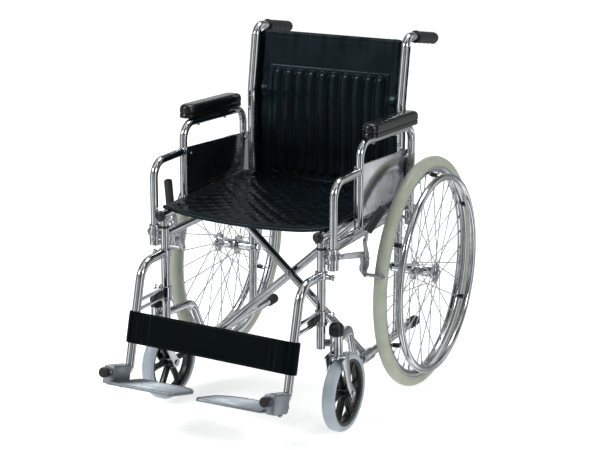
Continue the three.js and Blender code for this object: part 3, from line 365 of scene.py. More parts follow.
@dataclass(frozen=True)
class TumbledCasting:
    """Die-cast aluminium, tumbled: a pale satin skin, slightly pitted, darker in the pits."""

    name: str = "tumbled_cast_aluminium"
    colour: str = "#989fa5"
    pit: str = "#747b81"
    grit_mm: float = 1.1

    def make(self) -> bpy.types.Material:
        """Builds the material."""
        material, tree, shader = new_material(self.name)
        grit = speckle(tree, self.grit_mm, 4)
        clouds = speckle(tree, 30, 3)
        tint = blend_colours(tree, ranged(tree, grit, 0, 1, 0.35, 0.6), self.pit, self.colour)
        dress(tree, shader, tint, ranged(tree, clouds, 0.3, 0.46), relief(tree, grit, 0.09, strength=0.6))
        shader.inputs["Metallic"].default_value = 0.85
        return material


@dataclass(frozen=True)
class GrainedVinyl:
    """Calendered vinyl on a woven backing: leather pebbles, soft gloss, faint creases."""

    name: str = "leathergrain_vinyl"
    colour: str = "#04080a"
    worn: str = "#091115"
    pebble_mm: float = 1.8  # twice the real pebble, so that it shows
    gloss: float = 0.19
    dull: float = 0.31
    crease_mm: float = 0.18
    lustre: float = 0.3

    def make(self) -> bpy.types.Material:
        """Builds the material."""
        material, tree, shader = new_material(self.name)
        place = frame_coordinates(tree)
        settings = {"feature": "SMOOTH_F1", "Scale": 1 / (self.pebble_mm * MM), "Smoothness": 0.6}
        pebbles = add_node(tree, "ShaderNodeTexVoronoi", settings, {"Vector": place}).outputs["Distance"]
        creases = speckle(tree, 22, 5)
        clouds = speckle(tree, 60, 3)
        tint = blend_colours(tree, ranged(tree, clouds, 0, 1, 0.35, 0.75), self.colour, self.worn)
        folds = relief(tree, creases, self.crease_mm, strength=0.5)
        gloss = ranged(tree, creases, self.gloss, self.dull)
        dress(tree, shader, tint, gloss, relief(tree, pebbles, 0.07, folds, 0.7))
        shader.inputs["IOR"].default_value = 1.53
        shader.inputs["Specular IOR Level"].default_value = self.lustre
        # the plasticiser in black vinyl gives its highlights a cold cast
        shader.inputs["Specular Tint"].default_value = srgb("#9dbcc9")
        return material


@dataclass(frozen=True)
class Moulding:
    """Moulded rubber, plastic or polyurethane: an even skin with fine spark-erosion texture."""

    name: str
    colour: str
    shade: str
    gloss: float
    dull: float
    texture_mm: float = 0.8
    relief_mm: float = 0.03
    see_in: float = 0.0  # share of light that enters the skin
    ior: float = 1.5

    def make(self) -> bpy.types.Material:
        """Builds the material."""
        material, tree, shader = new_material(self.name)
        skin = speckle(tree, self.texture_mm, 2)
        clouds = speckle(tree, 34, 4)
        tint = blend_colours(tree, ranged(tree, clouds, 0, 1), self.colour, self.shade)
        gloss = ranged(tree, clouds, self.gloss, self.dull)
        dress(tree, shader, tint, gloss, relief(tree, skin, self.relief_mm))
        shader.inputs["IOR"].default_value = self.ior
        shader.inputs["Subsurface Weight"].default_value = self.see_in
        shader.inputs["Subsurface Radius"].default_value = (0.004, 0.004, 0.003)
        return material


class Finishes:
    """Every finish of the chair, made once and shared by the pieces."""

    def __init__(self) -> None:
        self.chrome = ChromePlate().make()
        self.guard = RolledSteel("polished_stainless_sheet", "#c9ccd0", "#b4b8bc", 0.1, 0.2).make()
        self.zinc = RolledSteel("zinc_plated_steel", "#bfc3c7", "#a2a7ac", 0.2, 0.36, 0.9, 1.0).make()
        self.rim = RolledSteel("polished_aluminium_rim", "#d7dadd", "#c3c8cc", 0.12, 0.24, 0.8, 1.0).make()
        self.wire = RolledSteel("drawn_stainless_wire", "#e2e6e9", "#ccd1d5", 0.4, 0.55, 0.9, 1.0).make()
        self.casting = TumbledCasting().make()
        self.vinyl = GrainedVinyl().make()
        self.smooth_vinyl = GrainedVinyl(
            "smooth_strap_vinyl", "#04080a", "#070c0e", 1.3, 0.3, 0.46, 0.12, 0.09
        ).make()
        self.pad_skin = Moulding(
            "moulded_polyurethane_skin", "#0a0c0e", "#0f1214", 0.16, 0.25, 1.1, 0.004
        ).make()
        self.rubber = Moulding("moulded_rubber", "#16181a", "#212426", 0.5, 0.68, 0.9, 0.05).make()
        self.plastic = Moulding("moulded_nylon", "#0c0d0f", "#141618", 0.24, 0.38).make()
        self.tyre = Moulding(
            "cast_polyurethane_tread", "#9ba493", "#a9b1a2", 0.34, 0.5, 1.6, 0.03, 0.1
        ).make()
        self.caster_tyre = Moulding(
            "cast_grey_polyurethane", "#9ca6af", "#abb5bd", 0.36, 0.52, 1.4, 0.03, 0.06
        ).make()
        self.thread = Moulding("bonded_polyester_thread", "#1d2224", "#2a3032", 0.5, 0.7).make()


# ------------------------------------------------------------------------ mesh making


def bent_line(corners: Sequence[Vector], bend: float = 0.0, step: float = 6.0) -> list[Vector]:
    """Points of a line whose corners are rounded by arcs.

    Args:
        corners: Corner points, in millimetres.
        bend: Radius of every bend.
        step: Degrees between the points of an arc.

    Returns:
        The points along the line.
    """
    points = [corners[0].copy()]
    for before, corner, after in zip(corners, corners[1:], corners[2:]):
        coming = (corner - before).normalized()
        going = (after - corner).normalized()
        angle = coming.angle(going)
        axis = coming.cross(going).normalized()
        start = corner - coming * bend * math.tan(angle / 2)
        centre = start + axis.cross(coming) * bend
        steps = max(2, math.ceil(math.degrees(angle) / step))
        for k in range(steps + 1):
            turn = Matrix.Rotation(angle * k / steps, 3, axis)
            points.append(centre + turn @ (start - centre))
    points.append(corners[-1].copy())
    return points


def frames_along(line: Sequence[Vector], hint: Vector = Z_AXIS) -> list[tuple[Vector, Vector, Vector]]:
    """Directions that follow a line without twisting.

    Args:
        line: Points along the line.
        hint: Direction that the first side direction stays square to.

    Returns:
        Tangent, side and up directions at each point.
    """
    tangents = []
    for i in range(len(line)):
        ahead = line[min(i + 1, len(line) - 1)]
        behind = line[max(i - 1, 0)]
        tangents.append((ahead - behind).normalized())
    start = hint if abs(tangents[0].dot(hint)) < 0.95 else X_AXIS
    side = tangents[0].cross(start).normalized()
    made = []
    for tangent in tangents:
        side = (side - tangent * side.dot(tangent)).normalized()
        made.append((tangent, side, side.cross(tangent)))
    return made


def arc(radius: float, start: float, end: float, steps: int, centre: tuple[float, float] = (0, 0)) -> list:
    """Points of an arc in a plane.

    Args:
        radius: Radius of the arc.
        start: First angle in degrees.
        end: Last angle in degrees.
        steps: Number of parts.
        centre: Centre of the arc.

    Returns:
        (x, y) pairs.
    """
    angles = [math.radians(start + (end - start) * k / steps) for k in range(steps + 1)]
    return [(centre[0] + radius * math.cos(a), centre[1] + radius * math.sin(a)) for a in angles]


class Form:
    """Closed shells in millimetres from the rear axle, gathered into one mesh."""

    def __init__(self, material: bpy.types.Material) -> None:
        """Starts an empty form in one material."""
        self.points: list[Vector] = []
        self.faces: list[tuple[int, ...]] = []
        self.marks: list[int] = []
        self.materials: list[bpy.types.Material] = []
        self.current = 0
        self.use(material)

    def use(self, material: bpy.types.Material) -> "Form":
        """Gives the shells that follow this material."""
        if material not in self.materials:
            self.materials.append(material)
        self.current = self.materials.index(material)
        return self

    def add(self, points: Iterable[Vector], faces: Iterable[Sequence[int]]) -> "Form":
        """Adds one shell of points and faces."""
        base = len(self.points)
        self.points.extend(points)
        for face in faces:
            self.faces.append(tuple(base + i for i in face))
            self.marks.append(self.current)
        return self

    def loops(self, rings: Sequence[Sequence[Vector]], closed: bool = False) -> "Form":
        """Joins rings of equally many points into a shell.

        Args:
            rings: The rings in order.
            closed: Joins the last ring to the first, in place of end caps.

        Returns:
            The form.
        """
        count = len(rings[0])
        points = [p for ring in rings for p in ring]
        faces: list[tuple[int, ...]] = []
        spans = len(rings) if closed else len(rings) - 1
        for i in range(spans):
            low, high = i * count, ((i + 1) % len(rings)) * count
            for j in range(count):
                k = (j + 1) % count
                faces.append((low + j, low + k, high + k, high + j))
        if not closed:
            faces.append(tuple(range(count))[::-1])
            faces.append(tuple((len(rings) - 1) * count + j for j in range(count)))
        return self.add(points, faces)

    def sweep(
        self,
        line: Sequence[Vector],
        section: Callable[[float, float], float],
        sides: int = 30,
        hint: Vector = Z_AXIS,
    ) -> "Form":
        """Sweeps a round section whose radius may change.

        Args:
            line: Points along the middle.
            section: Radius for a share of the length and an angle.
            sides: Points round the section.
            hint: Direction that fixes where angle 90 degrees points.

        Returns:
            The form.
        """
        lengths = [0.0]
        for a, b in zip(line, line[1:]):
            lengths.append(lengths[-1] + (b - a).length)
        rings = []
        for point, along, (_, side, up) in zip(line, lengths, frames_along(line, hint)):
            share = along / lengths[-1]
            ring = []
            for j in range(sides):
                angle = TAU * j / sides
                reach = section(share, angle)
                ring.append(point + side * (reach * math.cos(angle)) + up * (reach * math.sin(angle)))
            rings.append(ring)
        return self.loops(rings)

    def tube(
        self, corners: Sequence[Vector], radius: float, bend: float = 0.0, sides: int = 30, edge: float = 0.8
    ) -> "Form":
        """Adds a round tube or bar with softened ends.

        Args:
            corners: Corner points of its middle line.
            radius: Outer radius.
            bend: Radius of its bends.
            sides: Points round it.
            edge: Size of the softened end edge.

        Returns:
            The form.
        """
        line = bent_line(corners, bend)
        first = (line[1] - line[0]).normalized()
        last = (line[-1] - line[-2]).normalized()
        line = [line[0], line[0] + first * edge, *line[1:-1], line[-1] - last * edge, line[-1]]
        total = len(line) - 1
        rings = []
        for i, (point, (_, side, up)) in enumerate(zip(line, frames_along(line))):
            reach = radius - edge if i in (0, total) else radius
            angles = [TAU * j / sides for j in range(sides)]
            rings.append([point + side * (reach * math.cos(a)) + up * (reach * math.sin(a)) for a in angles])
        return self.loops(rings)

    def turned(self, profile: Outline, origin: Vector, axis: Vector, segments: int = 48) -> "Form":
        """Adds a turned piece.

        Args:
            profile: Radius and height pairs; it closes on the axis or on itself.
            origin: Place of height 0 on the axis.
            axis: Direction of height.
            segments: Points round it.

        Returns:
            The form.
        """
        axis = axis.normalized()
        hint = Z_AXIS if abs(axis.z) < 0.9 else X_AXIS
        side = axis.cross(hint).normalized()
        up = side.cross(axis)
        on_axis = profile[0][0] <= 0
        inner = [p for p in profile if p[0] > 0]
        count = len(inner)
        points, faces = [], []
        for j in range(segments):
            angle = TAU * j / segments
            out = side * math.cos(angle) + up * math.sin(angle)
            points.extend(origin + axis * height + out * radius for radius, height in inner)
        spans = count - 1 if on_axis else count
        for j in range(segments):
            here, there = j * count, ((j + 1) % segments) * count
            for i in range(spans):
                k = (i + 1) % count
                faces.append((here + i, here + k, there + k, there + i))
        if on_axis:
            points.append(origin + axis * profile[0][1])
            points.append(origin + axis * profile[-1][1])
            low, high = len(points) - 2, len(points) - 1
            for j in range(segments):
                here, there = j * count, ((j + 1) % segments) * count
                faces.append((low, here, there))
                faces.append((high, there + count - 1, here + count - 1))
        return self.add(points, faces)

    def bar(self, start: Vector, end: Vector, radius: float, sides: int = 24, edge: float = 0.6) -> "Form":
        """Adds a straight round bar with softened ends."""
        length = (end - start).length
        profile = [(0, 0), (radius - edge, 0), (radius, edge), (radius, length - edge)]
        profile += [(radius - edge, length), (0, length)]
        return self.turned(profile, start, end - start, sides)

    def nut(self, start: Vector, end: Vector, radius: float) -> "Form":
        """Adds a hexagon nut or bolt head between two points."""
        return self.bar(start, end, radius, 6, min(1.0, radius * 0.12))

    def prism(
        self,
        outline: Outline,
        right: Vector,
        up: Vector,
        low: float,
        high: float,
        edge: float = 0.8,
        origin: Vector = Vector((0, 0, 0)),
    ) -> "Form":
        """Adds an outline drawn in a plane and given a thickness, with rounded edges.

        Args:
            outline: (right, up) pairs round the outline.
            right: Direction of the first number.
            up: Direction of the second number.
            low: First place along the plane's normal.
            high: Last place along the plane's normal.
            edge: Radius of the edges.
            origin: Where the plane's numbers start.

        Returns:
            The form.
        """
        normal = right.cross(up)
        mesh = bmesh.new()
        flat = [origin + right * a + up * b for a, b in outline]
        bottom = [mesh.verts.new(p + normal * low) for p in flat]
        top = [mesh.verts.new(p + normal * high) for p in flat]
        mesh.faces.new(bottom[::-1])
        mesh.faces.new(top)
        for i in range(len(flat)):
            k = (i + 1) % len(flat)
            mesh.faces.new((bottom[i], bottom[k], top[k], top[i]))
        if edge > 0:
            bmesh.ops.recalc_face_normals(mesh, faces=mesh.faces)
            sharp = [e for e in mesh.edges if e.calc_face_angle(0) > math.radians(25)]
            shape = {"offset": edge, "segments": 2, "affect": "EDGES", "profile": 0.5}
            bmesh.ops.bevel(mesh, geom=sharp, clamp_overlap=True, **shape)
        mesh.verts.index_update()
        points = [v.co.copy() for v in mesh.verts]
        faces = [tuple(v.index for v in f.verts) for f in mesh.faces]
        mesh.free()
        return self.add(points, faces)

    def block(self, low: Vector, high: Vector, edge: float = 0.8) -> "Form":
        """Adds a box with rounded edges between two corners."""
        outline = [(low.x, low.y), (high.x, low.y), (high.x, high.y), (low.x, high.y)]
        return self.prism(outline, X_AXIS, Y_AXIS, low.z, high.z, edge)

    def across(self, side: Side, outline: Outline, inner: float, outer: float, edge: float = 0.8) -> "Form":
        """Adds a plate drawn in Y and Z, between two distances from the chair's middle."""
        ends = sorted((side.value * inner, side.value * outer))
        return self.prism(outline, Y_AXIS, Z_AXIS, ends[0], ends[1], edge)

    def weld(self, place: Vector, axis: Vector, radius: float, width: float = 2.6) -> "Form":
        """Adds a brazed fillet ring where a tube meets another."""
        profile = [(radius - 1.5, -width), (radius, -width)]
        profile += [(radius + 1.3, -width * 0.2), (radius + 1.1, width), (radius - 1.5, width)]
        return self.turned(profile, place, axis, 32)

    def stitches(
        self, line: Sequence[Vector], normal: Callable[[int], Vector], pitch: float, radius: float
    ) -> "Form":
        """Adds a row of stitches.

        Args:
            line: Points that the row follows.
            normal: Gives the outward direction at a point number.
            pitch: Distance between stitches.
            radius: Radius of the thread.

        Returns:
            The form.
        """

        def thickness(share: float, angle: float) -> float:
            """Radius of the thread, which thins where it enters the sheet."""
            return radius * (0.55 if share in (0.0, 1.0) else 1.0)

        travelled = 0.0
        for i, (a, b) in enumerate(zip(line, line[1:])):
            run = (b - a).length
            while travelled <= run:
                middle = a.lerp(b, travelled / run)
                along = (b - a).normalized()
                lift = normal(i) * radius * 0.5
                half = along * pitch * 0.33
                dip = lift * -0.6
                thread = [middle - half + dip, middle - half * 0.5 + lift]
                thread += [middle + half * 0.5 + lift, middle + half + dip]
                self.sweep(thread, thickness, 6, normal(i))
                travelled += pitch
            travelled -= run
        return self

    def build(self, name: str, sharp_degrees: float = 38) -> bpy.types.Object:
        """Makes the mesh object.

        Args:
            name: Name of the object.
            sharp_degrees: Edges that turn more than this stay crisp.

        Returns:
            The object, in metres in the frame.
        """
        mesh = bpy.data.meshes.new(name)
        places = [(p.x * MM, (p.y + AXLE_Y) * MM, p.z * MM) for p in self.points]
        mesh.from_pydata(places, [], self.faces)
        for material in self.materials:
            mesh.materials.append(material)
        mesh.polygons.foreach_set("material_index", self.marks)
        tidy = bmesh.new()
        tidy.from_mesh(mesh)
        bmesh.ops.recalc_face_normals(tidy, faces=tidy.faces)
        tidy.to_mesh(mesh)
        tidy.free()
        mesh.polygons.foreach_set("use_smooth", [True] * len(mesh.polygons))
        mesh.set_sharp_from_angle(angle=math.radians(sharp_degrees))
        obj = bpy.data.objects.new(name, mesh)
        bpy.context.scene.collection.objects.link(obj)
        return obj


def fit(piece: bpy.types.Object, body: str, slot: str, *nodes: str) -> bpy.types.Object:
    """Puts a piece on its body in place of CAD nodes.

    Args:
        piece: The finished piece.
        body: The CAD body it moves with.
        slot: Not used.
        nodes: CAD nodes that it stands for.

    Returns:
        The piece.
    """
    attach(piece, body)
    if nodes:
        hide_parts(*nodes)
    LOG.info("%s rides on %s with %d faces", piece.name, body, len(piece.data.polygons))
    return piece


@dataclass(frozen=True)
class SidePart:
    """What the sub-assemblies of one side share."""

    side: Side
    finishes: Finishes
    body: ClassVar[str]  # the CAD body that most of the pieces ride on

    def place(
        self, form: Form, name: str, slot: str, node: str, body: Optional[str] = None, sharp: float = 38
    ) -> bpy.types.Object:
        """Builds a form and puts it on a body of this side in place of a CAD node.

        Args:
            form: The piece's shells.
            name: The piece's name, without its side.
            slot: A label for the piece's finish, handed on to fit().
            node: The CAD node that it stands for, without its side.
            body: The CAD body, without its side, if it isn't the sub-assembly's own.
            sharp: Edges that turn more degrees than this stay crisp.

        Returns:
            The piece.
        """
        piece = form.build(self.side.node(name), sharp)
        return fit(piece, self.side.node(body or self.body), slot, self.side.node(node))


# ------------------------------------------------------------------------- side frame


@dataclass(frozen=True)
class SideFrame(SidePart):
    """One side frame with its grip, tipping cap, cradle, caster cap and seat-rail plug."""

    body: ClassVar[str] = "frame"
    middle: float = FRAME_X
    tube: float = TUBE_R
    bottom_z: float = BOTTOM_RAIL_Z
    upper_z: float = 459.0
    seat_z: float = SEAT_RAIL_Z
    post_y: float = FRONT_POST_Y
    post_low: float = 226.0
    post_top: float = 476.0
    kink_z: float = BACK_KINK_Z
    recline: float = BACK_RECLINE
    reclined: float = 176.0
    handle: float = 192.0
    handle_bend: float = 32.0
    grip: float = 150.0
    grip_inset: float = 14.0  # of the sleeve from the end of its seat
    grip_r: float = 15.5
    rail_front: float = -278.0
    rail_rear: float = 122.0
    caster_x: float = CASTER_X
    stem_y: float = CASTER_STEM_Y
    barrel_low: float = 213.0
    barrel_top: float = 263.0
    arm_x: float = ARM_X
    socket_low: float = 428.0
    socket_top: float = 480.0
    wheel_z: float = WHEEL_R
    button_z: float = 372.0  # of the snap button in the front post
    back_screws: tuple[float, ...] = (548.0, 640.0, 728.0)  # heights on the back post

    def at(self, y: float, z: float) -> Vector:
        """A point in the side frame's own plane."""
        return self.side.at(self.middle, y, z)

    def handle_corner(self) -> Vector:
        """Where the reclined post turns into the push handle."""
        run, rise = self.reclined * math.sin(self.recline), self.reclined * math.cos(self.recline)
        return self.at(run, self.kink_z + rise)

    def handle_direction(self) -> Vector:
        """The direction in which the push handle points."""
        return Vector((0, math.cos(self.recline), -math.sin(self.recline)))

    def build(self) -> None:
        """Builds every piece of the side frame."""
        self.build_tubes()
        self.build_grip()
        self.build_tip_cap()
        self.build_cradle()
        self.build_caster_cap()
        self.build_rail_plug()

    def build_tubes(self) -> None:
        """Builds the welded tubes, sockets, axle housing and caster barrel."""
        form = Form(self.finishes.chrome)
        corner = self.handle_corner()
        end = corner + self.handle_direction() * self.handle
        post = [self.at(0, self.bottom_z), self.at(0, self.kink_z)]
        form.tube([*post, corner, end], self.tube, self.handle_bend)
        self.add_front_post(form)
        ends = (self.rail_front, self.rail_rear)
        form.tube([self.at(y, self.bottom_z) for y in ends], self.tube)
        form.tube([self.at(self.post_y, self.upper_z), self.at(0, self.upper_z)], 10.0)
        self.add_barrel(form)
        self.add_socket(form, self.post_y + 2, self.post_y)
        self.add_socket(form, 4.0, 0.0)
        self.add_housing(form)
        for y in (self.post_y + self.tube, -self.tube):
            form.weld(self.at(y, self.upper_z), Y_AXIS, 10.0)
        form.weld(self.at(0, self.bottom_z + self.tube), Z_AXIS, self.tube)
        self.add_rail_screws(form)
        self.place(form, "frame_tubes", "chrome", "side_frame")

    def add_front_post(self, form: Form) -> None:
        """Adds the front post, whose open foot shows its wall."""
        low, top = self.post_low, self.post_top
        profile = [(self.tube - 1.6, 24), (self.tube - 1.6, 0.4), (self.tube - 0.8, 0), (self.tube, 0.8)]
        profile += [(self.tube, top - low - 0.8), (self.tube - 0.8, top - low)]
        outline = [(0, 24), *profile, (0, top - low)]
        form.turned(outline, self.at(self.post_y, low), Z_AXIS, 40)
        button = self.at(self.post_y, self.button_z)
        form.bar(button + self.side.outward * 9, button + self.side.outward * 12.2, 3.4, 20, 1.2)

    def add_barrel(self, form: Form) -> None:
        """Adds the caster barrel and the tubes that carry it."""
        side = self.side
        height = self.barrel_top - self.barrel_low
        profile = [(8.2, 0), (15, 0), (16.6, 1.2), (16.6, 5), (16, 6), (16, height - 6), (16.6, height - 5)]
        profile += [(16.6, height - 1.2), (15, height), (8.2, height)]
        form.turned(profile, side.at(self.caster_x, self.stem_y, self.barrel_low), Z_AXIS, 48)
        neck = side.at(self.caster_x - 10, self.stem_y, 240)
        form.tube([self.at(self.post_y, 240), neck], 9.0)
        arch = [
            side.at(self.caster_x - 6, self.stem_y + 8, 236),
            side.at(self.middle + 8, -324, 238),
            self.at(self.rail_front + 10, self.bottom_z),
        ]
        form.tube(arch, 10.0, 34)
        form.weld(side.at(self.caster_x - 9, self.stem_y + 14, 236), side.at(-0.2, 1, 0), 10.5)

    def add_socket(self, form: Form, y: float, post_y: float) -> None:
        """Adds one armrest socket with its bosses and screws."""
        side = self.side
        height = self.socket_top - self.socket_low
        profile = [(11.2, 1), (13.2, 0), (14, 0.8), (14, height - 3), (14.8, height - 2.4)]
        profile += [(14.8, height - 0.6), (14, height), (11.2, height - 1)]
        form.turned(profile, side.at(self.arm_x, y, self.socket_low), Z_AXIS, 48)
        for z in (self.socket_low + 16, self.socket_top - 12):
            form.bar(side.at(self.middle, post_y, z), side.at(self.arm_x - 12, y, z), 5.0)
        form.use(self.finishes.zinc)
        for z in (self.socket_low + 15, self.socket_top - 14):
            start = side.at(self.arm_x, y - 13, z)
            form.bar(start, start - Y_AXIS * 3.4, 4.0, 20, 1.3)
            form.bar(start - Y_AXIS * 2.6, start - Y_AXIS * 3.9, 1.8, 6, 0.3)
        form.use(self.finishes.chrome)

    def add_housing(self, form: Form) -> None:
        """Adds the axle housing through the back post."""
        inner, outer = self.middle - self.tube - 2, 259.0
        form.bar(*self.side.span(inner, outer, 0, self.wheel_z), 13.0, 40, 1.4)
        form.weld(self.side.at(self.middle + self.tube, 0, self.wheel_z), X_AXIS, 13.0)

    def add_rail_screws(self, form: Form) -> None:
        """Adds the screws that hold the back sling to the post."""
        form.use(self.finishes.zinc)
        for z in self.back_screws:
            start = self.side.at(self.middle, 0, z) - Y_AXIS * 10.5
            form.bar(start, start - Y_AXIS * 2.2, 4.2, 20, 1.4)
        form.use(self.finishes.chrome)

    def build_grip(self) -> None:
        """Builds the push grip: fine rings on top and four finger hollows underneath."""
        corner = self.handle_corner()
        axis = self.handle_direction()
        start = corner + axis * (self.handle + 5 - self.grip + self.grip_inset)
        length = self.grip - self.grip_inset
        steps = 150
        line = [start + axis * (length * i / steps) for i in range(steps + 1)]

        def section(share: float, angle: float) -> float:
            """Radius of the grip for a share of its length and an angle."""
            place = share * length
            downward = max(0.0, -math.sin(angle))
            radius = self.grip_r - 0.6
            if place < 8:
                return radius + 1.9 * math.sin(math.pi * min(1.0, place / 8 + 0.2))
            if place > length - 12:
                fall = (place - length + 12) / 12
                return radius * math.sqrt(max(0.12, 1 - 0.75 * fall * fall))
            hollow = 0.5 - 0.5 * math.cos(TAU * (place - 18) / 30)
            rings = 0.35 * math.sin(TAU * place / 4.6) * (1 - downward)
            return radius + rings + downward * (1.6 - 4.4 * (1 - hollow))

        form = Form(self.finishes.rubber).sweep(line, section, 48, Z_AXIS)
        self.place(form, "grip_sleeve", "black_rubber", "push_grip")

    def build_tip_cap(self) -> None:
        """Builds the rubber cap on the rear end of the bottom rail."""
        low = self.rail_rear - 34
        profile = [(11.3, 0.6), (12.6, 0), (13.6, 1.5), (14.3, 4)]
        for i in range(6):
            y = 8 + i * 4.4
            profile += [(14.4, y), (13.7, y + 0.7), (13.7, y + 1.5), (14.4, y + 2.2)]
        profile += [(14.4, 37), (13.6, 40.5), (11.5, 43), (0, 43)]
        form = Form(self.finishes.rubber)
        form.turned([(0, 0.6), *profile], self.at(low, self.bottom_z), Y_AXIS, 48)
        self.place(form, "tipping_cap", "black_rubber", "tip_cap")

    def build_cradle(self) -> None:
        """Builds the cradle on the front post: a collar and two cheeks beside the seat rail."""
        base = self.at(self.post_y, self.post_top + 0.3)
        form = Form(self.finishes.plastic)
        form.turned([(0, 0), (12, 0), (12.6, 0.8), (12.6, 4.6), (11.8, 5.4), (0, 5.4)], base, Z_AXIS, 40)
        form.use(self.finishes.chrome)
        form.turned([(0, 5.4), (11, 5.4), (11, 19), (10, 20.5), (0, 20.5)], base, Z_AXIS, 40)
        for way in (-1, 1):
            x = self.middle * self.side.value + way * 12.9
            low = Vector((x - 1.3, self.post_y - 8, self.post_top + 12))
            form.block(low, Vector((x + 1.3, self.post_y + 8, self.seat_z - 6)), 0.9)
        self.place(form, "rail_cradle", "black_plastic", "seat_cradle")

    def build_caster_cap(self) -> None:
        """Builds the glossy dome over the caster barrel."""
        base = self.side.at(self.caster_x, self.stem_y, self.barrel_top + 0.3)
        profile = [(0, 0), (18, 0), (19, 1), (19, 11), (18.2, 12), (18.2, 13), (19, 14)]
        profile += arc_profile(19, 14, 31, 10)
        form = Form(self.finishes.plastic).turned(profile, base, Z_AXIS, 48)
        self.place(form, "stem_cap", "black_plastic", "caster_cap")

    def build_rail_plug(self) -> None:
        """Builds the plug in the seat rail's front end, which rides with the brace."""
        body = "brace_b" if self.side is Side.LEFT else "brace_a"
        profile = [(0, 0), (12.0, 0), (13.3, 0.8), (13.3, 6.4), (12.9, 7.6)]
        profile += [(12.0, 9), (10, 10.8), (6, 11.6), (5.4, 11), (0, 11)]
        form = Form(self.finishes.plastic)
        form.turned(profile, self.at(-483.3, self.seat_z), -Y_AXIS, 40)
        fit(form.build(self.side.node("seat_rail_plug")), body, "black_plastic", self.side.node("rail_plug"))


def washer(bore: float, radius: float, thick: float, crest: float, bevel: float = 0.4) -> Pairs:
    """Profile of a washer for turning.

    Args:
        bore: Radius of its hole.
        radius: Its radius where it is widest.
        thick: Its thickness.
        crest: Height at which it is widest.
        bevel: How much narrower its two faces are.

    Returns:
        Radius and height pairs.
    """
    return [(bore, 0), (radius - bevel, 0), (radius, crest), (radius - bevel, thick), (bore, thick)]


def ring_wall(bore: float, radius: float, low: float, high: float, bevel: float = 0.8) -> Pairs:
    """Profile of a sleeve with bevelled ends for turning.

    Args:
        bore: Radius of its hole.
        radius: Its outer radius.
        low: Height of its lower end.
        high: Height of its upper end.
        bevel: Size of the bevels.

    Returns:
        Radius and height pairs.
    """
    inner = radius - bevel
    foot = [(bore, low), (inner, low), (radius, low + bevel)]
    return foot + [(radius, high - bevel), (inner, high), (bore, high)]


def arc_profile(radius: float, low: float, high: float, steps: int) -> Pairs:
    """A domed end for a turned profile.

    Args:
        radius: Radius at the dome's foot.
        low: Height of the foot.
        high: Height of the top.
        steps: Number of parts.

    Returns:
        Radius and height pairs up to the axis.
    """
    made = []
    for k in range(1, steps):
        angle = math.pi / 2 * k / steps
        made.append((radius * math.cos(angle) ** 0.8, low + (high - low) * math.sin(angle)))
    return made + [(0, high)]


# ------------------------------------------------------------------------- rear wheel


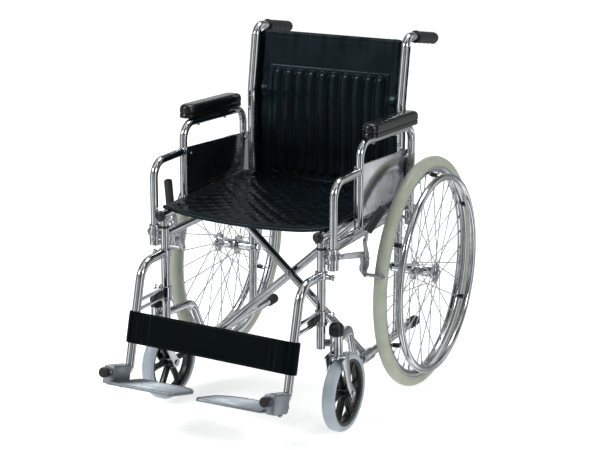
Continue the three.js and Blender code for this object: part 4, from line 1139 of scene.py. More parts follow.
@dataclass(frozen=True)
class RearWheel(SidePart):
    """A spoked rear wheel with its solid tyre, handrim and fixed axle."""

    body: ClassVar[str] = "wheel"
    radius: float = WHEEL_R
    middle: float = 292.0
    tyre_r: float = 17.0
    rim_seat: float = 278.0
    rim_inner: float = 262.0
    spokes: int = 36
    spoke_r: float = 1.4
    lean: float = math.radians(52)
    hub_inner: float = -28.0
    hub_outer: float = 32.0
    flange_r: float = 27.0
    hoop_r: float = 254.0
    hoop_tube: float = 9.5
    hoop_offset: float = 39.0
    standoffs: int = 6

    @property
    def centre(self) -> Vector:
        """The wheel's centre."""
        return self.side.at(self.middle, 0, self.radius)

    def spot(self, x: float, reach: float, angle: float) -> Vector:
        """A point of the wheel by its distance outward, radius and angle."""
        return self.centre + self.side.at(x, reach * math.cos(angle), reach * math.sin(angle))

    def build(self) -> None:
        """Builds every piece of the wheel."""
        self.build_tyre()
        self.build_rim()
        self.build_handrim()
        self.build_axle()

    def build_tyre(self) -> None:
        """Builds the solid tyre: a round tread with a mould line and shallow shoulder grooves."""
        middle = self.radius - self.tyre_r
        edge = math.acos((self.rim_seat - middle) / self.tyre_r)
        profile = []
        steps = 36
        for i in range(steps + 1):
            angle = -edge + 2 * edge * i / steps
            reach = self.tyre_r - 0.15
            if abs(abs(math.degrees(angle)) - 62) < 4:
                reach -= 0.9
            if abs(angle) < math.radians(2):
                reach += 0.15
            profile.append((middle + reach * math.cos(angle), reach * math.sin(angle)))
        form = Form(self.finishes.tyre).turned(profile, self.centre, self.side.outward, 144)
        self.place(form, "tread_ring", "rear_tyre_grey", "rear_tyre", sharp=50)

    def build_rim(self) -> None:
        """Builds the aluminium rim, hub, spokes and nipples."""
        form = Form(self.finishes.rim)
        profile = [(277.4, -13), (276, -13.4), (270, -12), (264.5, -8.6), (262.2, -4.5), (262, 0)]
        profile += [(262.2, 4.5), (264.5, 8.6), (270, 12), (276, 13.4), (277.4, 13)]
        profile += [(277.4, 10), (273, 8), (273, -8), (277.4, -10)]
        form.turned(profile, self.centre, self.side.outward, 144)
        self.add_hub(form)
        self.add_spokes(form)
        self.place(form, "laced_wheel", "chrome", "rear_wheel")

    def add_hub(self, form: Form) -> None:
        """Adds the hub barrel with its drilled flanges and end covers."""
        form.use(self.finishes.chrome)
        low, high = self.hub_inner, self.hub_outer
        inner = [(7, -4), (12, -4), (12.6, -3.2), (12.6, -1.6), (26.2, -1.6)]
        inner += [(27, -0.8), (27, 0.8), (26.2, 1.6), (19, 2.6), (14.5, 9)]
        profile = [(reach, low + x) for reach, x in inner] + [(12.6, 2)]
        profile += [(reach, high - x) for reach, x in reversed(inner)]
        form.turned(profile, self.centre, self.side.outward, 56)
        form.use(self.finishes.plastic)
        holes = 9
        for x, way in ((low - 1.62, -1), (high + 1.62, 1)):
            for i in range(holes):
                angle = TAU * (i + 0.5) / holes
                start = self.spot(x - way * 0.6, 17.6, angle)
                form.bar(start, start + self.side.outward * (way * 0.75), 2.3, 16, 0.1)

    def add_spokes(self, form: Form) -> None:
        """Adds the crossed spokes, with a head at the flange and a nipple at the rim."""
        for i in range(self.spokes):
            form.use(self.finishes.wire)
            rim_angle = TAU * i / self.spokes
            lean = self.lean if (i // 2) % 2 else -self.lean
            flange = (self.hub_inner if i % 2 else self.hub_outer) + math.copysign(2.4, lean)
            start = self.spot(flange, self.flange_r - 4, rim_angle + lean)
            end = self.spot(0, self.rim_inner + 1.5, rim_angle)
            form.bar(start, end, self.spoke_r, 10, 0.2)
            head = self.side.outward * math.copysign(1.6, lean)
            form.bar(start - head * 0.5, start + head, 2.1, 12, 0.5)
            form.use(self.finishes.zinc)
            along = (start - end).normalized()
            form.bar(end, end + along * 13, 2.2, 10, 0.5)

    def build_handrim(self) -> None:
        """Builds the handrim hoop on its standoffs with black sleeves."""
        form = Form(self.finishes.chrome)
        sides = 28
        profile = []
        for i in range(sides):
            angle = TAU * i / sides
            across, along = self.hoop_tube * math.cos(angle), self.hoop_tube * math.sin(angle)
            profile.append((self.hoop_r + across, self.hoop_offset + along))
        form.turned(profile, self.centre, self.side.outward, 160)
        for i in range(self.standoffs):
            angle = TAU * (i + 0.5) / self.standoffs
            form.use(self.finishes.plastic)
            form.bar(self.spot(12.4, 264, angle), self.spot(self.hoop_offset - 8, 262, angle), 6.2, 24, 1.4)
            form.use(self.finishes.chrome)
            form.bar(self.spot(11.6, 264, angle), self.spot(self.hoop_offset, 260, angle), 3.6, 20)
            form.use(self.finishes.zinc)
            form.nut(self.spot(8.5, 264.5, angle), self.spot(12.4, 264.5, angle), 5.4)
        self.place(form, "push_hoop", "chrome", "handrim")

    def build_axle(self) -> None:
        """Builds the axle with its inner nut and outer hub bolt."""
        form = Form(self.finishes.zinc)
        side, z = self.side, self.radius
        form.bar(*side.span(200, 332, 0, z), 6.0, 24)
        form.nut(*side.span(196, 201.8, 0, z), 10.4)
        form.turned(washer(6.2, 12.8, 1.4, 0.6), side.at(202, 0, z), side.outward, 32)
        form.turned(washer(6.2, 12.2, 1.4, 0.6), side.at(328.5, 0, z), side.outward, 32)
        form.nut(*side.span(330, 336.2, 0, z), 10.2)
        self.place(form, "hub_bolt", "zinc_steel", "rear_axle", "frame")


# ----------------------------------------------------------------------------- caster


@dataclass(frozen=True)
class Caster(SidePart):
    """A front caster: fork, spoked wheel and solid tyre."""

    body: ClassVar[str] = "caster"
    x: float = CASTER_X
    y: float = CASTER_STEM_Y
    trail: float = 45.0
    radius: float = 100.0
    crown_low: float = 204.0
    crown_top: float = 210.0
    arm_inner: float = 21.0
    arm_outer: float = 26.0
    spokes: int = 6

    @property
    def turn(self) -> Matrix:
        """How far the caster stands turned about its stem at rest."""
        return Matrix.Rotation(math.radians(-7.0 if self.side is Side.RIGHT else 0.0), 3, "Z")

    @property
    def stem(self) -> Vector:
        """The stem's place at floor height."""
        return self.side.at(self.x, self.y, 0)

    def local(self, x: float, y: float, z: float) -> Vector:
        """A point in the caster's own directions, from its stem."""
        return self.stem + self.turn @ Vector((x, y, z))

    def axle(self, x: float = 0.0) -> Vector:
        """A point on the wheel's axis, from its middle."""
        return self.local(x, self.trail, self.radius)

    def build(self) -> None:
        """Builds the fork, wheel and tyre."""
        self.build_fork()
        self.build_wheel()
        self.build_tyre()

    def build_fork(self) -> None:
        """Builds the crown plate, two curved arms, the stem and the axle bolt."""
        form = Form(self.finishes.chrome)
        right, ahead = self.turn @ X_AXIS, self.turn @ Y_AXIS
        crown = arc(15, 200, 340, 8, (0, -4)) + [(25, 4), (26, 22), (20, 27)]
        crown += [(8, 24), (-8, 24), (-20, 27), (-26, 22), (-25, 4)]
        form.prism(crown, right, ahead, self.crown_low, self.crown_top, 1.6, self.stem)
        for way in (-1, 1):
            self.add_arm(form, way, right)
        stem = [(0, -2), (14, -2), (14.5, -1), (14.5, 2.2), (7.5, 2.4), (7.5, 40), (0, 40)]
        form.turned(stem, self.local(0, 0, self.crown_top), Z_AXIS, 40)
        form.use(self.finishes.zinc)
        reach = self.arm_outer
        form.bar(self.axle(-reach - 3), self.axle(reach + 4), 4.9, 20)
        form.nut(self.axle(reach), self.axle(reach + 3.5), 8.6)
        form.nut(self.axle(-reach - 3.5), self.axle(-reach), 8.6)
        form.nut(self.local(0, 0, self.crown_low - 4), self.local(0, 0, self.crown_low), 9.5)
        self.place(form, "fork", "chrome", "caster_fork", "caster_swivel", 40)

    def add_arm(self, form: Form, way: int, right: Vector) -> None:
        """Adds one pressed fork arm, wide at the crown and curving back to the axle."""
        middle = way * (self.arm_inner + self.arm_outer) / 2
        corners = [(3, self.crown_top - 3), (9, 178), (24, 132), (self.trail, self.radius)]
        line = smooth_curve([self.local(middle, y, z) for y, z in corners], 26)
        widths = [19, 15, 11, 10.5]
        frames = frames_along(line, right)
        rings = []
        for i, (point, (tangent, _, _)) in enumerate(zip(line, frames)):
            half = interpolate(widths, i / (len(line) - 1))
            flat = tangent.cross(right).normalized()
            rings.append([point + flat * a + right * b for a, b in rounded_bar(half, 2.5, 1.4)])
        form.loops(rings)
        eye = self.axle(middle)
        half = right * 2.6
        form.bar(eye - half, eye + half, 12.5, 32, 1.0)

    def build_wheel(self) -> None:
        """Builds the moulded wheel with tapering spokes and a bearing in its hub."""
        form = Form(self.finishes.plastic)
        axis = self.turn @ X_AXIS
        centre = self.axle()
        half = 13.0
        profile = [(84, -half), (82.5, -half - 0.5), (76.5, -half), (74.5, -half + 2), (73.5, -4), (73.5, 4)]
        profile += [(74.5, half - 2), (76.5, half), (82.5, half + 0.5), (84, half)]
        form.turned(profile, centre, axis, 96)
        hub = [(6, -20), (12, -20), (16, -18.5), (17, -12), (17, 12), (16, 18.5), (12, 20), (6, 20)]
        form.turned(hub, centre, axis, 48)
        for i in range(self.spokes):
            angle = TAU * i / self.spokes
            out = self.turn @ Vector((0, math.cos(angle), math.sin(angle)))
            round_it = self.turn @ Vector((0, -math.sin(angle), math.cos(angle)))
            edge = [(12, 8), (30, 6.2), (56, 6.6), (70, 9.5), (76, 15)]
            outline = [(reach, -wide) for reach, wide in edge] + edge[::-1]
            form.prism(outline, out, round_it, -6.5, 6.5, 1.8, centre)
            rib = [(14, -2.4), (75, -2.4), (75, 2.4), (14, 2.4)]
            form.prism(rib, out, round_it, -9.5, 9.5, 1.1, centre)
        form.use(self.finishes.zinc)
        for way in (-1, 1):
            start = centre + axis * (way * 19.4)
            form.turned(washer(5.4, 10, 0.9, 0.4, 0.5), start, axis * way, 32)
        self.place(form, "spoke_wheel", "black_plastic", "caster_wheel", sharp=40)

    def build_tyre(self) -> None:
        """Builds the solid tyre with rounded shoulders and a mould line."""
        half, outer = 16.0, self.radius
        profile = [(84.3, -half + 1.4), (85.5, -half), (90, -half)]
        for k in range(17):
            angle = math.radians(-80 + 10 * k)
            place = (half - 0.2) * math.sin(angle) / math.sin(math.radians(80))
            profile.append((outer - 10 + 10 * math.cos(angle) ** 0.8, place))
        profile += [(90, half), (85.5, half), (84.3, half - 1.4)]
        form = Form(self.finishes.caster_tyre)
        form.turned(profile, self.axle(), self.turn @ X_AXIS, 96)
        self.place(form, "tyre_ring", "caster_tyre_grey", "caster_tyre", sharp=40)


def interpolate(values: Sequence[float], share: float) -> float:
    """Reads a value between evenly spaced ones."""
    place = share * (len(values) - 1)
    low = min(int(place), len(values) - 2)
    return values[low] + (values[low + 1] - values[low]) * (place - low)


def rounded_bar(half_width: float, half_thick: float, corner: float) -> Pairs:
    """Section of a flat bar with round corners, as points round it."""
    made = []
    a, b = half_width - corner, half_thick - corner
    for start, cx, cy in ((0, a, b), (90, -a, b), (180, -a, -b), (270, a, -b)):
        made += arc(corner, start, start + 90, 4, (cx, cy))
    return made


def smooth_curve(corners: Sequence[Vector], steps: int) -> list[Vector]:
    """A smooth line through points.

    Args:
        corners: Points that it passes.
        steps: Number of parts in all.

    Returns:
        Points along the line.
    """
    count = len(corners) - 1
    made = []
    for k in range(steps + 1):
        place = k / steps * count
        i = min(int(place), count - 1)
        t = place - i
        p0 = corners[max(i - 1, 0)]
        p1, p2 = corners[i], corners[i + 1]
        p3 = corners[min(i + 2, count)]
        square, cube = 2 * p0 - 5 * p1 + 4 * p2 - p3, 3 * p1 - p0 - 3 * p2 + p3
        made.append(0.5 * (2 * p1 + (p2 - p0) * t + square * t**2 + cube * t**3))
    return made


# ---------------------------------------------------------------------------- armrest


@dataclass(frozen=True)
class Armrest(SidePart):
    """A stepped lift-off armrest: chromed frame, moulded pad and polished skirt guard."""

    body: ClassVar[str] = "armrest"
    x: float = ARM_X
    tube: float = 10.0
    lower_tube: float = 8.0
    bend: float = 42.0
    leg_low: float = 433.0
    lower_z: float = 491.0
    step_z: float = 638.0
    top_front_z: float = 708.0
    top_rear_z: float = 692.0
    front_leg_y: float = -466.0
    loop_front: float = -318.0
    loop_rear: float = 4.0
    pad_x: float = 256.5
    pad_half: float = 22.5
    pad_front: float = -297.0
    pad_rear: float = -23.0
    pad_height: float = 36.0

    @property
    def slope(self) -> float:
        """Rise of the loop's top for each millimetre rearwards."""
        return (self.top_rear_z - self.top_front_z) / (self.loop_rear - self.loop_front)

    def top_at(self, y: float) -> float:
        """Height of the loop's top tube at a place along it."""
        return self.top_front_z + self.slope * (y - self.loop_front)

    def at(self, y: float, z: float) -> Vector:
        """A point in the armrest's own plane."""
        return self.side.at(self.x, y, z)

    def build(self) -> None:
        """Builds the frame, pad and guard."""
        self.build_frame()
        self.build_pad()
        self.build_guard()

    def build_frame(self) -> None:
        """Builds the bent tubes of the armrest."""
        form = Form(self.finishes.chrome)
        step = [self.at(self.front_leg_y, self.leg_low), self.at(self.front_leg_y, self.step_z)]
        form.tube([*step, self.at(self.loop_front, self.step_z)], self.tube, self.bend)
        loop = [
            self.at(self.loop_front, self.lower_z),
            self.at(self.loop_front, self.top_front_z),
            self.at(self.loop_rear, self.top_rear_z),
            self.at(self.loop_rear, self.leg_low),
        ]
        form.tube(loop, self.tube, self.bend)
        form.tube([self.at(y, self.lower_z) for y in (self.front_leg_y, self.loop_rear)], self.lower_tube)
        form.weld(self.at(self.loop_front - self.tube, self.step_z), Y_AXIS, self.tube)
        form.weld(self.at(self.loop_front, self.lower_z + self.lower_tube), Z_AXIS, self.tube)
        form.weld(self.at(self.front_leg_y + self.tube, self.lower_z), Y_AXIS, self.lower_tube)
        form.weld(self.at(self.loop_rear - self.tube, self.lower_z), Y_AXIS, self.lower_tube)
        form.use(self.finishes.zinc)
        for y in (-240.0, -100.0):
            start = self.at(y, self.top_at(y) - self.tube + 0.6)
            form.bar(start, start - Z_AXIS * 3.6, 4.6, 20, 1.4)
        self.place(form, "arm_tubes", "chrome", "arm_frame")

    def pad_outline(self) -> Pairs:
        """Outline of the pad from above, from its middle, round nose first."""
        half, rear = self.pad_half, 11.0
        made = arc(half, 180, 360, 26, (0, self.pad_front + half))
        made += arc(rear, 0, 90, 7, (half - rear, self.pad_rear - rear))
        made += arc(rear, 90, 180, 7, (-half + rear, self.pad_rear - rear))
        return refined(made, 9.0)

    def build_pad(self) -> None:
        """Builds the moulded pad: crowned top, undercut seam line and a lower band."""
        outline = self.pad_outline()
        tip = Matrix.Rotation(math.atan(self.slope), 3, "X")
        middle = (self.pad_front + self.pad_rear) / 2
        foot = self.side.at(self.pad_x, middle, self.top_at(middle) + self.tube + 0.3)
        levels = [
            (3.0, 0.0), (0.8, 0.3), (0.2, 1.6), (0.2, 10.5), (1.3, 11.2), (1.9, 12.0),
            (1.1, 12.8), (0.1, 13.6), (0.0, 18.0), (0.2, 23.0), (1.1, 27.5), (2.9, 31.2),
            (5.6, 33.7), (9.0, 35.0), (13.5, 35.7), (18.5, 36.0),
        ]
        rings = []
        for inset, level in levels:
            ring = []
            for x, y in outline:
                reach = max(0.0, 1 - inset / self.pad_half)
                run = (self.pad_rear - self.pad_front) / 2
                along = (y - middle) * (1 - inset / run)
                crown = 0.0
                if level > 30:
                    crown = -1.6 * max(0.0, ((y - middle) / run) ** 2 - 0.55)
                ring.append(foot + tip @ Vector((x * reach, along, level * self.pad_height / 36.0 + crown)))
            rings.append(ring)
        form = Form(self.finishes.pad_skin).loops(rings)
        self.place(form, "moulded_pad", "black_vinyl", "arm_pad", sharp=60)

    def build_guard(self) -> None:
        """Builds the polished sheet with its folded hem and fixing bolts."""
        form = Form(self.finishes.guard)
        front, rear = self.loop_front - 6, self.loop_rear + 6
        low, top_front, top_rear = 485.0, 650.0, 628.0
        inner, outer = 234.7, 236.7
        outline = [(front, low), (rear, low), (rear, top_rear), (front, top_front)]
        form.across(self.side, rounded_corners(outline, 7), inner + 0.2, outer - 0.2, 0.5)
        hem = [self.side.at(235.7, front + 6, top_front - 1.6), self.side.at(235.7, rear - 6, top_rear - 1.6)]
        form.tube(hem, 1.7, 0, 12, 0.4)
        form.use(self.finishes.zinc)
        bolts = [(-187.0, 520.0, 4.6), (-150.0, 519.0, 3.0)]
        bolts += [(-300.0, 500.0, 3.6), (-300.0, 630.0, 3.6), (-8.0, 500.0, 3.6)]
        for y, z, radius in bolts:
            form.bar(*self.side.span(inner - 1.8, outer + 2.2, y, z), radius, 24, 1.1)
        knob_y, knob_z = self.loop_rear - 9, 614
        form.nut(*self.side.span(outer - 3.5, outer + 5.5, knob_y, knob_z), 6.4)
        form.bar(*self.side.span(inner - 2.4, outer + 9.5, knob_y, knob_z), 3.6)
        self.place(form, "guard_sheet", "mirror_steel", "skirt_guard")


def refined(outline: Outline, longest: float) -> Pairs:
    """Splits the long edges of a closed outline.

    Args:
        outline: Points round it.
        longest: Greatest edge length.

    Returns:
        The outline with added points.
    """
    made = []
    for (ax, ay), (bx, by) in zip(outline, [*outline[1:], outline[0]]):
        parts = max(1, math.ceil(math.hypot(bx - ax, by - ay) / longest))
        made += [(ax + (bx - ax) * k / parts, ay + (by - ay) * k / parts) for k in range(parts)]
    return made


def rounded_corners(outline: Outline, radius: float, steps: int = 6) -> Pairs:
    """Rounds every corner of a closed outline.

    Args:
        outline: Corner points round it.
        radius: Radius of every corner.
        steps: Number of parts of each corner.

    Returns:
        The rounded outline.
    """
    made = []
    count = len(outline)
    for i in range(count):
        before, corner, after = (Vector((*outline[(i + k) % count], 0)) for k in (-1, 0, 1))
        line = bent_line([before.lerp(corner, 0.5), corner, corner.lerp(after, 0.5)], radius, 90 / steps)
        made += [(p.x, p.y) for p in line[1:-1]]
    return made


# ------------------------------------------------------------------------- wheel lock


@dataclass(frozen=True)
class WheelLock(SidePart):
    """A push-to-lock brake: clamp plate, lever with its grip, and the shoe rod."""

    body: ClassVar[str] = "frame"
    plate_x: float = 262.0
    plate_thick: float = 5.0
    socket_y: float = -466.0
    arm_x: float = ARM_X
    pivot: tuple[float, float] = (-318.0, 420.0)
    shoe_pivot: tuple[float, float] = (-330.0, 402.0)
    shoe_y: float = -302.744
    shoe_z: float = 374.0

    @property
    def grip_low(self) -> Vector:
        """Lower end of the grip."""
        return self.side.at(277, -338, 492)

    @property
    def grip_top(self) -> Vector:
        """Upper end of the grip."""
        return self.side.at(305, -301, 553)

    def build(self) -> None:
        """Builds the bracket, lever, grip and shoe."""
        self.build_bracket()
        self.build_lever()
        self.build_grip()
        self.build_shoe()

    def build_bracket(self) -> None:
        """Builds the clamp on the socket and the pressed plate behind it."""
        side = self.side
        form = Form(self.finishes.zinc)
        inner, outer = self.plate_x, self.plate_x + self.plate_thick
        outline = [
            (self.socket_y + 4, 469), (-348, 446), (-300, 434), (-297, 397), (-310, 386.5),
            (-337, 386.5), (-346, 429), (self.socket_y + 4, 455),
        ]
        form.across(side, rounded_corners(outline, 4.5), inner + 0.1, outer - 0.1, 1.0)
        flange = [(self.socket_y + 4, 466.5), (-356, 445.5), (-356, 441.5), (self.socket_y + 4, 462.5)]
        form.across(side, flange, inner - 7, inner + 1, 0.8)
        clamp = [(14.4, 455), (17, 455), (17.8, 456), (17.8, 468), (17, 469), (14.4, 469)]
        form.turned([(r, z - 455) for r, z in clamp], side.at(self.arm_x, self.socket_y, 455), Z_AXIS, 48)
        for y in (self.socket_y - 1, self.socket_y + 12):
            form.bar(*side.span(inner - 6, outer + 2.2, y, 462), 4.2, 24, 1.2)
        for y, z, radius in ((*self.pivot, 5.4), (-334.0, 434.0, 3.2), (-312.0, 394.0, 3.0)):
            form.bar(*side.span(inner - 1.6, outer + 1.6, y, z), radius, 24, 0.9)
        self.place(form, "lock_plate", "zinc_steel", "lock_bracket")

    def build_lever(self) -> None:
        """Builds the pressed lever, its rivet and the stalk in the grip."""
        side = self.side
        form = Form(self.finishes.zinc)
        inner = self.plate_x + self.plate_thick + 0.4
        y, z = self.pivot
        outline = [
            (y - 8, z - 8), (y + 8, z - 8), (y + 9, z + 8), (-326, 470),
            (-329, 478), (-339, 478), (-342, 470), (y - 12, z + 8),
        ]
        form.across(side, rounded_corners(outline, 3.5), inner, inner + 3.8, 0.9)
        rib = [(y - 4, z + 6), (y + 2, z + 8), (-331, 472), (-337, 472)]
        form.across(side, rib, inner + 2, inner + 5.4, 1.2)
        form.bar(*side.span(inner - 1, inner + 7.4, y, z), 6.2, 28, 1.4)
        top = self.grip_low.lerp(self.grip_top, 0.9)
        form.tube([side.at(inner + 5, -334, 470), self.grip_low, top], 4.9, 8)
        self.place(form, "lock_arm", "zinc_steel", "lock_lever", "lock_handle")

    def build_grip(self) -> None:
        """Builds the long ribbed rubber grip."""
        low, top = self.grip_low, self.grip_top
        axis = (top - low).normalized()
        length = (top - low).length
        start = low + axis * 3
        run = length - 3
        profile = [(0, 0), (8.6, 0), (9.8, 1.2)]
        place = 3.0
        while place < run - 9:
            profile += [(10.9, place), (10.9, place + 1.9), (10.1, place + 2.5), (10.1, place + 3.3)]
            place += 4.0
        profile += [(10.9, place), (10.9, run - 5)]
        profile += [(11 * math.cos(a), run - 5 + 5 * math.sin(a)) for a in (0.4, 0.8, 1.2)] + [(0, run)]
        form = Form(self.finishes.rubber).turned(profile, start, axis, 40)
        self.place(form, "lock_sleeve", "black_rubber", "lock_grip", "lock_handle")

    def build_shoe(self) -> None:
        """Builds the arm and the knurled rod that presses on the tread."""
        side = self.side
        form = Form(self.finishes.zinc)
        outer = self.plate_x - 0.4
        y, z = self.shoe_pivot
        sy, sz = self.shoe_y, self.shoe_z
        outline = [(y - 8, z + 8), (y - 9, z - 8), (sy - 7, sz - 6)]
        outline += [(sy + 6, sz - 6), (sy + 7, sz + 5), (y + 8, z + 8)]
        form.across(side, rounded_corners(outline, 3.4), outer - 3.8, outer, 0.9)
        form.bar(*side.span(outer - 5.5, outer + 5, y, z), 5.0, 24, 0.8)
        form.bar(*side.span(outer - 5.5, 300, sy, sz), 4.6, 24, 0.8)
        knurls = 18
        for i in range(knurls):
            x = 272 + i * 2.1
            form.turned([(4.2, 0), (5.0, 0.4), (5.0, 1.2), (4.2, 1.6)], side.at(x, sy, sz), side.outward, 24)
        self.place(form, "lock_rod", "zinc_steel", "lock_shoe", "lock_press")


# ------------------------------------------------------------------ hanger and footrest


@dataclass(frozen=True)
class Footrest(SidePart):
    """A swing-away hanger with its latch and collar, footrest tube, plug and footplate."""

    body: ClassVar[str] = "footrest"
    middle: float = FRAME_X
    post_y: float = FRONT_POST_Y
    tube: float = TUBE_R
    top_z: float = HANGER_TOP_Z
    reach: float = HANGER_REACH
    bend: float = 55.0
    tilt: float = HANGER_TILT
    eye_r: float = 15.5
    upper_eye: tuple[float, float] = (403.0, 421.0)  # lower and upper end
    lower_eye: tuple[float, float] = (296.0, 324.0)
    latch_z: float = 409.0
    bolt_z: float = 317.0  # of the fixing bolt in the lower eye
    elbow_z: float = 158.0
    stem: float = 70.0
    toe: float = 118.0
    inner_gap: float = 28.0
    plate_rear: float = 42.0
    plate_front: float = -106.0
    plate_thick: float = 8.0
    drop: float = 21.0

    def post(self, y: float, z: float, x: float = 0.0) -> Vector:
        """A point measured from the front post's axis; x points outward."""
        return self.side.at(self.middle + x, self.post_y + y, z)

    def across_eye(self, z: float, start: float, end: float) -> tuple[Vector, Vector]:
        """The two ends of a pin that runs outward from the front post's axis at a height."""
        return self.post(0, z, start), self.post(0, z, end)

    def line_y(self, z: float) -> float:
        """Y of the sloping tube's middle from the post at a height."""
        return -self.reach - (self.top_z - z) * math.tan(self.tilt)

    @property
    def elbow(self) -> Vector:
        """Where the footrest tube turns forward."""
        return self.post(self.line_y(self.elbow_z), self.elbow_z)

    @property
    def ahead(self) -> Vector:
        """Along the plate towards its rear edge."""
        return Vector((0, math.cos(self.tilt), -math.sin(self.tilt)))

    @property
    def above(self) -> Vector:
        """Out of the plate's top face."""
        return Vector((0, math.sin(self.tilt), math.cos(self.tilt)))

    def foot(self, x: float, y: float, z: float) -> Vector:
        """A point of the footrest: x outward, y along the plate, z out of its top."""
        return self.elbow + self.side.outward * x + self.ahead * y + self.above * z

    def build(self) -> None:
        """Builds every piece of the footrest."""
        self.build_hanger()
        self.build_latch()
        self.build_bumper()
        self.build_collar()
        self.build_stem()
        self.build_plug()
        self.build_plate()

    def build_hanger(self) -> None:
        """Builds the bent hanger tube, its eyes, struts and fixing bolts."""
        form = Form(self.finishes.chrome)
        end = self.foot(0, 0, self.stem + 0.2)
        form.tube([self.post(-8, self.top_z), self.post(-self.reach, self.top_z), end], self.tube, self.bend)
        for low, high in (self.upper_eye, self.lower_eye):
            form.turned(ring_wall(11.4, self.eye_r, 0, high - low), self.post(0, low), Z_AXIS, 48)
        for low in (self.lower_eye[0], self.lower_eye[1] - 6):
            front = self.line_y(low) + 6
            outline = [(front, 0), (-12.5, 0), (-12.5, 6), (front, 6)]
            form.prism(outline, Y_AXIS, Z_AXIS, -5, 5, 1.0, self.post(0, low))
        form.weld(self.foot(0, 0, self.stem + 4), self.above, self.tube, 3.2)
        form.use(self.finishes.zinc)
        form.bar(*self.across_eye(self.latch_z, 11.8, 22.2), 6.4, 28, 1.0)
        form.bar(*self.across_eye(self.bolt_z, 11.8, 35.4), 3.4, 20)
        form.nut(*self.across_eye(self.bolt_z, 28.6, 33.4), 6.8)
        form.turned(washer(3.6, 8.4, 1.2, 0.5, 0.2), self.post(0, self.bolt_z, 15.2), self.side.outward, 32)
        self.place(form, "hanger_tube", "chrome", "hanger")

    def build_latch(self) -> None:
        """Builds the pull latch: a pin with a crossed knob."""
        form = Form(self.finishes.zinc)
        start = self.eye_r + 0.4
        form.bar(*self.across_eye(self.latch_z, start, start + 17.8), 3.8, 24)
        collar = self.post(0, self.latch_z, start + 8.4)
        form.turned(washer(3.8, 6.6, 1.6, 0.6), collar, self.side.outward, 28)
        knob = self.post(0, self.latch_z, start + 15)
        for arm in (Y_AXIS * 8, Z_AXIS * 8):
            form.bar(knob - arm, knob + arm, 2.9, 24, 1.2)
        self.place(form, "latch_pin", "zinc_steel", "hanger_latch", "latch")

    def build_bumper(self) -> None:
        """Builds the rubber block between the two struts."""
        low, high = 302.4, 317.6
        form = Form(self.finishes.rubber)
        outline = rounded_corners([(-66, low), (-20.4, low), (-20.4, high), (-52, high)], 2.4)
        form.prism(outline, Y_AXIS, Z_AXIS, -7.9, 7.9, 1.6, self.post(0, 0))
        for k in range(3):
            y = -28.0 - 7 * k
            ridge = [(y, low + 3), (y + 2.4, low + 3), (y + 2.4, high - 3), (y, high - 3)]
            form.prism(ridge, Y_AXIS, Z_AXIS, -8.5, 8.5, 0.5, self.post(0, 0))
        self.place(form, "strut_bumper", "black_rubber", "hanger_bumper")

    def build_collar(self) -> None:
        """Builds the split collar under the hanger, with its clamp screw."""
        form = Form(self.finishes.zinc)
        form.turned(ring_wall(11.4, 15, 0, 9.5), self.post(0, 286), Z_AXIS, 48)
        form.bar(self.post(9, 290.8, 8), self.post(14, 290.8, 12.5), 3.0, 20, 0.8)
        self.place(form, "stop_collar", "zinc_steel", "hanger_collar", "collar")

    def build_stem(self) -> None:
        """Builds the footrest tube that turns forward under the block."""
        form = Form(self.finishes.chrome)
        corners = [self.foot(0, 0, self.stem), self.foot(0, 0, 0), self.foot(0, -self.toe, 0)]
        form.tube(corners, self.tube - 0.05, 14)
        self.place(form, "footrest_tube", "chrome", "footrest_stem")

    def build_plug(self) -> None:
        """Builds the glossy round plug on the tube's front end."""
        profile = [(0, 0.6), (11.4, 0.6), (12.2, 0), (12.8, 0.8), (12.8, 13), (12.4, 15)]
        profile += [(11.2, 16.8), (9.6, 17.7), (8.8, 17.6), (8.4, 17.0), (0, 17.2)]
        form = Form(self.finishes.plastic)
        form.turned(profile, self.foot(0, -self.toe + 12, 0), -self.ahead, 48)
        self.place(form, "toe_plug", "black_plastic", "foot_plug")

    def plate_outline(self) -> Pairs:
        """Outline of the plate: x outward and y along it; the inner rear corner is round."""
        outer, inner = -10.5, self.inner_gap - self.middle
        made = [(outer, self.plate_front), (outer, self.plate_rear)]
        made += arc(66, 90, 180, 18, (inner + 66, self.plate_rear - 66))
        made += arc(14, 180, 270, 8, (inner + 14, self.plate_front + 14))
        return [(self.side.value * x, y) for x, y in made]

    def build_plate(self) -> None:
        """Builds the cast footplate: plate, raised rim, fine ribs, block and bolt."""
        form = Form(self.finishes.casting)
        top = -self.drop
        origin, right, up = self.elbow, X_AXIS, self.ahead
        outline = self.plate_outline()
        form.prism(outline, right, up, top - self.plate_thick, top - 1.6, 1.6, origin)
        self.add_rim(form, outline, top)
        self.add_ribs(form, top)
        self.add_block(form)
        under = -self.drop - self.plate_thick
        rib = [(-14, under + 1), (-14, under - 4), (-80, under - 4), (-86, under + 1)]
        form.prism(rib, up, self.above, -12, 12, 1.4, origin)
        form.use(self.finishes.zinc)
        form.nut(self.foot(0, -30, under - 9.5), self.foot(0, -30, under - 2), 7.4)
        form.bar(self.foot(0, -30, under - 12), self.foot(0, -30, under - 6), 4.2, 20)
        self.place(form, "cast_footplate", "cast_aluminium", "footplate", "plate", sharp=30)

